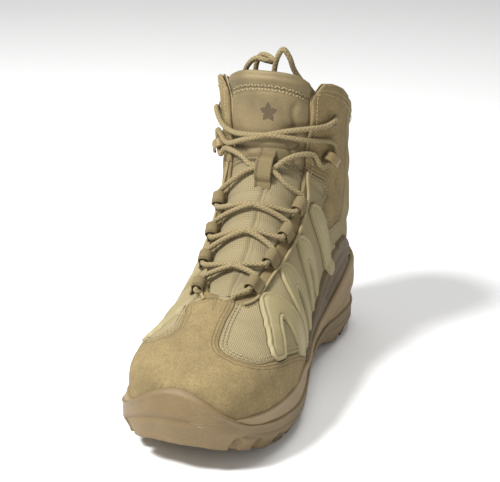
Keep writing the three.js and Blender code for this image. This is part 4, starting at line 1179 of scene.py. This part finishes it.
class BOOT_OT_webbing(bpy.types.Operator):
    """Builds the webbing eyes and the keeper on the tongue"""
    bl_idname = "boot.webbing"
    bl_label = "Webbing"

    def execute(self, context):
        parts, ends = [], []
        radius = LACE_SIZE / 2 + 1.4 + .6
        for side in (1, -1):
            for s, v in LOOP_SEATS[side]:
                here, inward, up, n = seat_at(s, side * v, EYE_LIFT)
                a = np.linspace(-.5, .68, 26) * math.pi
                arc = np.stack([np.cos(a), np.sin(a)], -1) * radius
                tail = np.array([[-7.5, -radius + .5], [-5.5, -radius + .15], [-3, -radius]])
                over = np.array([[-3.5, radius * .2], [-5.6, -radius * .3], [-7.5, -radius + 1.6]])
                line = np.concatenate([tail, arc, over])
                line = smooth_path(line, 60)
                path = here + inward * line[:, :1] + n * line[:, 1:]
                t = np.gradient(path, axis=0)
                hint = np.cross(t, np.broadcast_to(up, t.shape))
                parts.append(sweep(path, strap_section(10, 1.15), hint))
        points, faces, uv = many(parts)
        thing = make_piece("webbing_eyes", points, faces, material_for("webbing"), uv, None, "webbing")
        for side in ("medial", "lateral"):
            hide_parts(*[f"lace_loop_{side}_{i}" for i in range(1, 5)])
        s = 11.35
        here, _, _, n = seat_at(s, .01, 0)
        along = upper_point(s + .2, .001) - upper_point(s - .2, .001)
        along /= np.linalg.norm(along)
        line = smooth_path([(-15, -.6), (-12, .5), (-9.6, .9), (-7, 4.3), (-3.5, 5.2), (3.5, 5.2),
                            (7, 4.3), (9.6, .9), (12, .5), (15, -.6)], 60)
        path = here + along * line[:, :1] + n * line[:, 1:]
        width = np.cross(n, along)
        t = np.gradient(path, axis=0)
        rings, faces, uv = sweep(path, strap_section(12.5, 1.2), np.cross(width[None], t))
        keeper = make_piece("keeper", rings, faces, material_for("webbing"), uv, None, "webbing")
        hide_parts("tongue_keeper")
        return {"FINISHED"}


class BOOT_OT_hardware(bpy.types.Operator):
    """Builds the painted speed hooks and the eyelet rings"""
    bl_idname = "boot.hardware"
    bl_label = "Hardware"

    def execute(self, context):
        parts = []
        for side in (1, -1):
            here, inward, up, n = seat_at(HOOK_SEATS[side][0], side * HOOK_SEATS[side][1], .9)
            line = smooth_path([(-6, .4), (0, .4), (4.6, .9), (6.2, 3.2), (5.2, 6.2), (2, 7.6),
                                (-2, 8.0), (-5, 7.0)], 48)
            path = here + inward * line[:, :1] + n * line[:, 1:]
            hint = np.cross(np.gradient(path, axis=0), np.broadcast_to(up, path.shape))
            section = strap_section(7.2, 2.0)
            section[:, 0] -= .35 * bump(section[:, 1], .9) * np.sign(section[:, 0])
            parts.append(sweep(path, section, hint))
        points, faces, uv = many(parts)
        thing = make_piece("speed_hooks", points, faces, material_for("hook paint"), uv, None, "paint")
        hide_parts("speed_hook_medial", "speed_hook_lateral")
        parts = []
        a = np.linspace(0, 2 * math.pi, 49)[:-1]
        profile = np.array([(2.3, -.6), (2.45, .9), (2.9, 1.35), (3.7, 1.45), (4.5, 1.15), (5, .5),
                            (5, -.6)])
        for side in (1, -1):
            s, v = RING_SEATS[side]
            here, inward, up, n = seat_at(s, side * v, .8)
            r, h = profile[None, :, 0, None], profile[None, :, 1, None]
            rings = here + r * (np.cos(a)[:, None, None] * inward + np.sin(a)[:, None, None] * up) + h * n
            rings = np.concatenate([rings, rings[:1]])
            parts.append((rings, grid_faces(49, len(profile), wrap=True),
                          np.zeros((49 * len(profile), 2))))
        points, faces, uv = many(parts)
        rings = make_piece("eyelet_rings", points, faces, material_for("ring plate"), uv, None, "steel")
        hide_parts("eyelet_ring_medial", "eyelet_ring_lateral")
        return {"FINISHED"}


# ---------------------------------------------------------------- sole
def sole_lines(count):
    """Closed outlines, heel round the inner side to the toe and back: wall, ground and normal."""
    rows = SOLE_OUTLINE
    wall = np.concatenate([rows[:, [0, 1]], rows[-2:0:-1][:, [0, 2]]])
    ground = np.concatenate([rows[:, [0, 3]], rows[-2:0:-1][:, [0, 4]]])
    inset = 5.0 * np.concatenate([ease((12 - rows[:, 0]) / 12) - ease((rows[:, 0] - 294) / 12),
                                  (ease((12 - rows[:, 0]) / 12) - ease((rows[:, 0] - 294) / 12))[-2:0:-1]])
    ground[:, 0] += inset
    joined = smooth_path(np.concatenate([wall, ground], axis=1), count + 1, closed=True)[:-1]
    wall, ground = joined[:, :2], joined[:, 2:]
    t = np.roll(wall, -1, axis=0) - np.roll(wall, 1, axis=0)
    t /= np.linalg.norm(t, axis=1, keepdims=True)
    return wall, ground, np.stack([-t[:, 1], t[:, 0]], -1)


def groove_depth(x, y):
    """How far the grooves between the lugs cut in at each point under the sole, 0 to 1."""
    deep = np.zeros(np.shape(x))
    for at, width, turn, low, high in GROOVES:
        c, w = math.cos(math.radians(turn)), math.sin(math.radians(turn))
        u, v = (x - at) * c + y * w, -(x - at) * w + y * c
        deep = np.maximum(deep, ease((width / 2 + .7 - np.abs(u)) / 1.2)
                          * ease((v - low + .6) / 1.2) * ease((high - v + .6) / 1.2))
    return deep


LEVELS = np.arange(10.0, 70.0, 2.0)


def upper_beside(wall, n):
    """How far out from the wall line the upper's form lies, for each wall point and level: the
    furthest sample of the form in a narrow window beside the point, then smoothed round the sole."""
    s, v = np.meshgrid(np.linspace(0, 14.5, 420), np.linspace(1e-4, 1, 240), indexing="ij")
    cloud = np.concatenate([upper_point(s, side * v).reshape(-1, 3) for side in (1, -1)])
    t = np.stack([-n[:, 1], n[:, 0]], -1)
    rows = []
    for z in LEVELS:
        q = cloud[np.abs(cloud[:, 2] - z) < 1.2][:, None, :2] - wall[None]
        gap = np.where(np.abs((q * t).sum(-1)) < 1.8, (q * n).sum(-1), -9.0).max(0, initial=-9.0)
        gap = np.max([np.roll(gap, k) for k in (-4, -2, 0, 2, 4)], axis=0)
        gap = np.concatenate([gap[-8:], gap, gap[:8]])
        rows.append(np.convolve(gap, np.ones(17) / 17, "valid"))
    for k in range(len(rows) - 2, -1, -1):
        rows[k] = np.maximum(rows[k], rows[k + 1] - 1.5)
    return np.array(rows)


def read_level(table, z):
    """Reads a table of levels by points at one height per point."""
    at = np.clip((z - LEVELS[0]) / (LEVELS[1] - LEVELS[0]), 0, len(LEVELS) - 1.001)
    k = at.astype(int)
    i = np.arange(table.shape[1])
    return table[k, i] * (1 - at + k) + table[k + 1, i] * (at - k)


def shell(name, rings, material, slot, *nodes):
    """Closed ring-shaped piece from profiles set round the outline."""
    rings = np.concatenate([rings, rings[:1]])
    m = rings.shape[1]
    length = np.cumsum(np.linalg.norm(np.diff(rings[:, m // 2], axis=0, prepend=rings[:1, m // 2]),
                                      axis=-1))
    uv = np.stack(np.broadcast_arrays(length[:, None], np.arange(m)[None] * 1.5), -1)
    thing = make_piece(name, rings, grid_faces(len(rings), m, wrap=True), material_for(material),
                       uv, None, slot)
    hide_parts(*nodes)
    return thing


class BOOT_OT_sole(bpy.types.Operator):
    """Builds the outsole with its tread, lugs and toe bumper, and the midsole wall"""
    bl_idname = "boot.sole"
    bl_label = "Sole"

    def execute(self, context):
        count = 520
        wall, ground, n = sole_lines(count)
        x = wall[:, 0]
        read = lambda k: np.interp(x, SOLE_HEIGHTS[:, 0], SOLE_HEIGHTS[:, k])
        smooth = lambda q: np.convolve(np.concatenate([q[-6:], q, q[:6]]), np.ones(13) / 13, "valid")
        tread, rubber, foam = smooth(read(1)), smooth(read(2)), smooth(read(3))
        toe, heel = ease((x - 262) / 30), ease((80 - x) / 40)
        cut = groove_depth(ground[:, 0], ground[:, 1])
        step = lambda value: float(ease(np.array([value]))[0])
        row = lambda xy, z: np.concatenate([xy, np.asarray(z)[:, None]], axis=1)
        beside = upper_beside(wall, n)
        rim = []
        spine = np.stack([np.clip(x, 24, 284), np.interp(x, SOLE_OUTLINE[:, 0],
                                                         SOLE_OUTLINE[:, 1:3].mean(1))], -1)
        for q in np.linspace(0, 1, 46)[:-1]:
            at = spine + (ground - n * 1.0 - spine) * q
            low = np.interp(at[:, 0], SOLE_HEIGHTS[:, 0], SOLE_HEIGHTS[:, 1])
            low = low * q + smooth(low) * (1 - q)
            rim.append(row(at, low + GROOVE_DEPTH * groove_depth(at[:, 0], at[:, 1])))
        for f in (0, .05, .1, .16, .23, .3, .37, .44, .5, .55, .6, .65, .7, .76, .82, .87, .91,
                  .94, .965, .985, 1.0):
            low = tread + LUG_HEIGHT * cut * max(0, 1 - f / .35)
            z = low + (rubber - low) * f
            out = .8 * step((.5 - f) / .1) * (1 - cut) - 3.2 * cut * step((.45 - f) / .12)
            out = out - 1.3 * toe * bump(f - .5, .03) - .9 * (1 - toe) * bump(f - .6, .03)
            near = read_level(beside, z) + 2.7
            hug = toe * step((f - .5) / .45)
            out = np.maximum(out + (near - out) * hug, near - .6)
            out = out + .8 * bump(f - .92, .045) - 1.6 * max(0, (f - .95) / .05) ** 2
            base = ground + (wall - ground) * step(f / .55)
            rim.append(row(base + n * out[:, None], z))
        last = rim[-1]
        rim += [row(last[:, :2] - n * 1.4, last[:, 2] - .4), row(last[:, :2] - n * 5, last[:, 2] - 4),
                row(ground - n * 8, tread + 8), row(spine + (ground - spine) * .3, tread + 9),
                row(spine, tread + 9)]
        shell("outsole_rubber", np.array(rim).transpose(1, 0, 2), "rubber", "rubber", "outsole")
        rim = []
        for f in (0, .05, .1, .2, .3, .4, .47, .53, .6, .7, .8, .88, .94, .98, 1.0):
            z = rubber - 2.5 + (foam - rubber + 2.5) * f
            z = np.where(foam > rubber - 1, z, foam - 3 + 3 * f)
            fin = bump((x + .9 * z + 40) % 12 - 6, 1.1) * ease((150 - x) / 30) * ease((x - 4) / 8)
            near = read_level(beside, z) + 1.9 + 2.6 * ease((190 - x) / 25)
            out = -.9 - 3.0 * toe + (near + .9 + 3.0 * toe) * step((f - .2) / .7)
            out = np.maximum(out, near) - 1.0 * fin * step((.9 - f) / .1) * step((f - .1) / .1)
            out = out + .5 * bump(f - .86, .06) - 1.4 * max(0, (f - .93) / .07) ** 2
            rim.append(row(wall + n * out[:, None], z))
        last = rim[-1]
        rim += [row(last[:, :2] - n * 2.2, last[:, 2] - 1), row(wall - n * 12, rubber - 2.5)]
        shell("midsole_wall", np.array(rim).transpose(1, 0, 2), "midsole", "foam", "midsole")
        return {"FINISHED"}


class BOOT_OT_insole(bpy.types.Operator):
    """Builds the knit-covered insole: the CAD footbed made dense, dished under the heel"""
    bl_idname = "boot.insole"
    bl_label = "Insole"

    def execute(self, context):
        work = bmesh.new()
        work.from_mesh(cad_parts["insole"].data)
        for _ in range(2):
            bmesh.ops.subdivide_edges(work, edges=work.edges, cuts=1, use_grid_fill=True)
        bmesh.ops.triangulate(work, faces=work.faces)
        mesh = bpy.data.meshes.new("footbed")
        work.normal_update()
        work.to_mesh(mesh)
        work.free()
        count = len(mesh.vertices)
        co, way = np.empty(count * 3, np.float32), np.empty(count * 3, np.float32)
        mesh.vertices.foreach_get("co", co)
        mesh.vertex_normals.foreach_get("vector", way)
        co, way = co.reshape(-1, 3), way.reshape(-1, 3)
        points = co * 1000 + [SOLE_LENGTH / 2, 0, 0]
        dish = bump((points[:, 0] - 40) / 26, 1) * bump(points[:, 1] / 20, 1)
        points[:, 2] -= 1.1 * dish * (way[:, 2] > .5)
        faces = np.empty(len(mesh.loops), np.int32)
        mesh.loops.foreach_get("vertex_index", faces)
        faces = faces.reshape(-1, 3)
        bpy.data.meshes.remove(mesh)
        pad = make_piece("footbed", points, faces, material_for("knit lining"),
                         points[:, :2], None, "lining")
        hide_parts("insole")
        return {"FINISHED"}


# ---------------------------------------------------------------- stage
def area_light(name, place_at, aim, size, power):
    """A round soft lamp aimed at a place."""
    data = bpy.data.lights.new(name, "AREA")
    data.shape, data.size, data.energy = "DISK", size, power
    lamp = bpy.data.objects.new(name, data)
    bpy.context.scene.collection.objects.link(lamp)
    lamp.location = place_at
    way = Vector(aim) - lamp.location
    lamp.rotation_euler = way.to_track_quat("-Z", "Y").to_euler()
    lamp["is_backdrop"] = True
    return lamp


CAMERA_DISTANCE, CAMERA_TURN, CAMERA_RISE = 1.12, 20.5, 21.5


class BOOT_OT_stage(bpy.types.Operator):
    """Builds the pale floor, soft studio lights and camera"""
    bl_idname = "boot.stage"
    bl_label = "Stage"

    def execute(self, context):
        scene = context.scene
        bpy.ops.mesh.primitive_plane_add(size=12, location=(0, 0, -.0002))
        floor = context.object
        floor.name = "floor"
        g = Graph("floor paper")
        floor.data.materials.append(g.done((.97, .97, .965, 1), .9))
        floor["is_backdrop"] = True
        world = bpy.data.worlds.new("studio") if not scene.world else scene.world
        scene.world = world
        world.use_nodes = True
        world.node_tree.nodes["Background"].inputs[0].default_value = (1, 1, 1, 1)
        world.node_tree.nodes["Background"].inputs[1].default_value = .3
        area_light("key", (.75, -.6, 1.3), (0, 0, .1), .4, 36)
        area_light("fill", (1.3, 1.0, .7), (0, 0, .1), 1.0, 3.5)
        area_light("top", (-.2, .1, 1.5), (0, 0, .1), .8, 9)
        turn, rise = math.radians(CAMERA_TURN), math.radians(CAMERA_RISE)
        data = bpy.data.cameras.new("camera")
        data.lens, data.sensor_width = 111, 36
        camera = bpy.data.objects.new("camera", data)
        scene.collection.objects.link(camera)
        camera.location = (-.001 + CAMERA_DISTANCE * math.cos(rise) * math.cos(turn),
                           CAMERA_DISTANCE * math.cos(rise) * math.sin(turn),
                           .09 + CAMERA_DISTANCE * math.sin(rise))
        way = Vector((-.0006, -.0009, .11)) - camera.location
        camera.rotation_euler = way.to_track_quat("-Z", "Y").to_euler()
        scene.camera = camera
        scene.view_settings.view_transform = "Standard"
        return {"FINISHED"}


class BOOT_PT_panel(bpy.types.Panel):
    """Sizes, colours and building steps of the boot"""
    bl_label = "Combat boot"
    bl_idname = "BOOT_PT_panel"
    bl_space_type = "VIEW_3D"
    bl_region_type = "UI"
    bl_category = "Boot"

    def draw(self, context):
        for group in (context.scene.boot_sizes, context.scene.boot_look):
            for key in group.__annotations__:
                self.layout.prop(group, key)
        for step in STEPS:
            self.layout.operator(step.bl_idname)


STEPS = (BOOT_OT_sole, BOOT_OT_insole, BOOT_OT_upper, BOOT_OT_ribs, BOOT_OT_trim, BOOT_OT_tongue,
         BOOT_OT_webbing, BOOT_OT_hardware, BOOT_OT_laces, BOOT_OT_stage)
CLASSES = (BootLook, BootSizes, *STEPS, BOOT_PT_panel)


def register():
    for kind in CLASSES:
        bpy.utils.register_class(kind)
    bpy.types.Scene.boot_look = bpy.props.PointerProperty(type=BootLook)
    bpy.types.Scene.boot_sizes = bpy.props.PointerProperty(type=BootSizes)


def unregister():
    del bpy.types.Scene.boot_sizes
    del bpy.types.Scene.boot_look
    for kind in reversed(CLASSES):
        bpy.utils.unregister_class(kind)


def main():
    register()
    for step in STEPS:
        group, name = step.bl_idname.split(".")
        getattr(getattr(bpy.ops, group), name)()
    [list(c) for c in START_BOUNDS]
    [list(c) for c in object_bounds()]


if __name__ == "__main__":
    main()
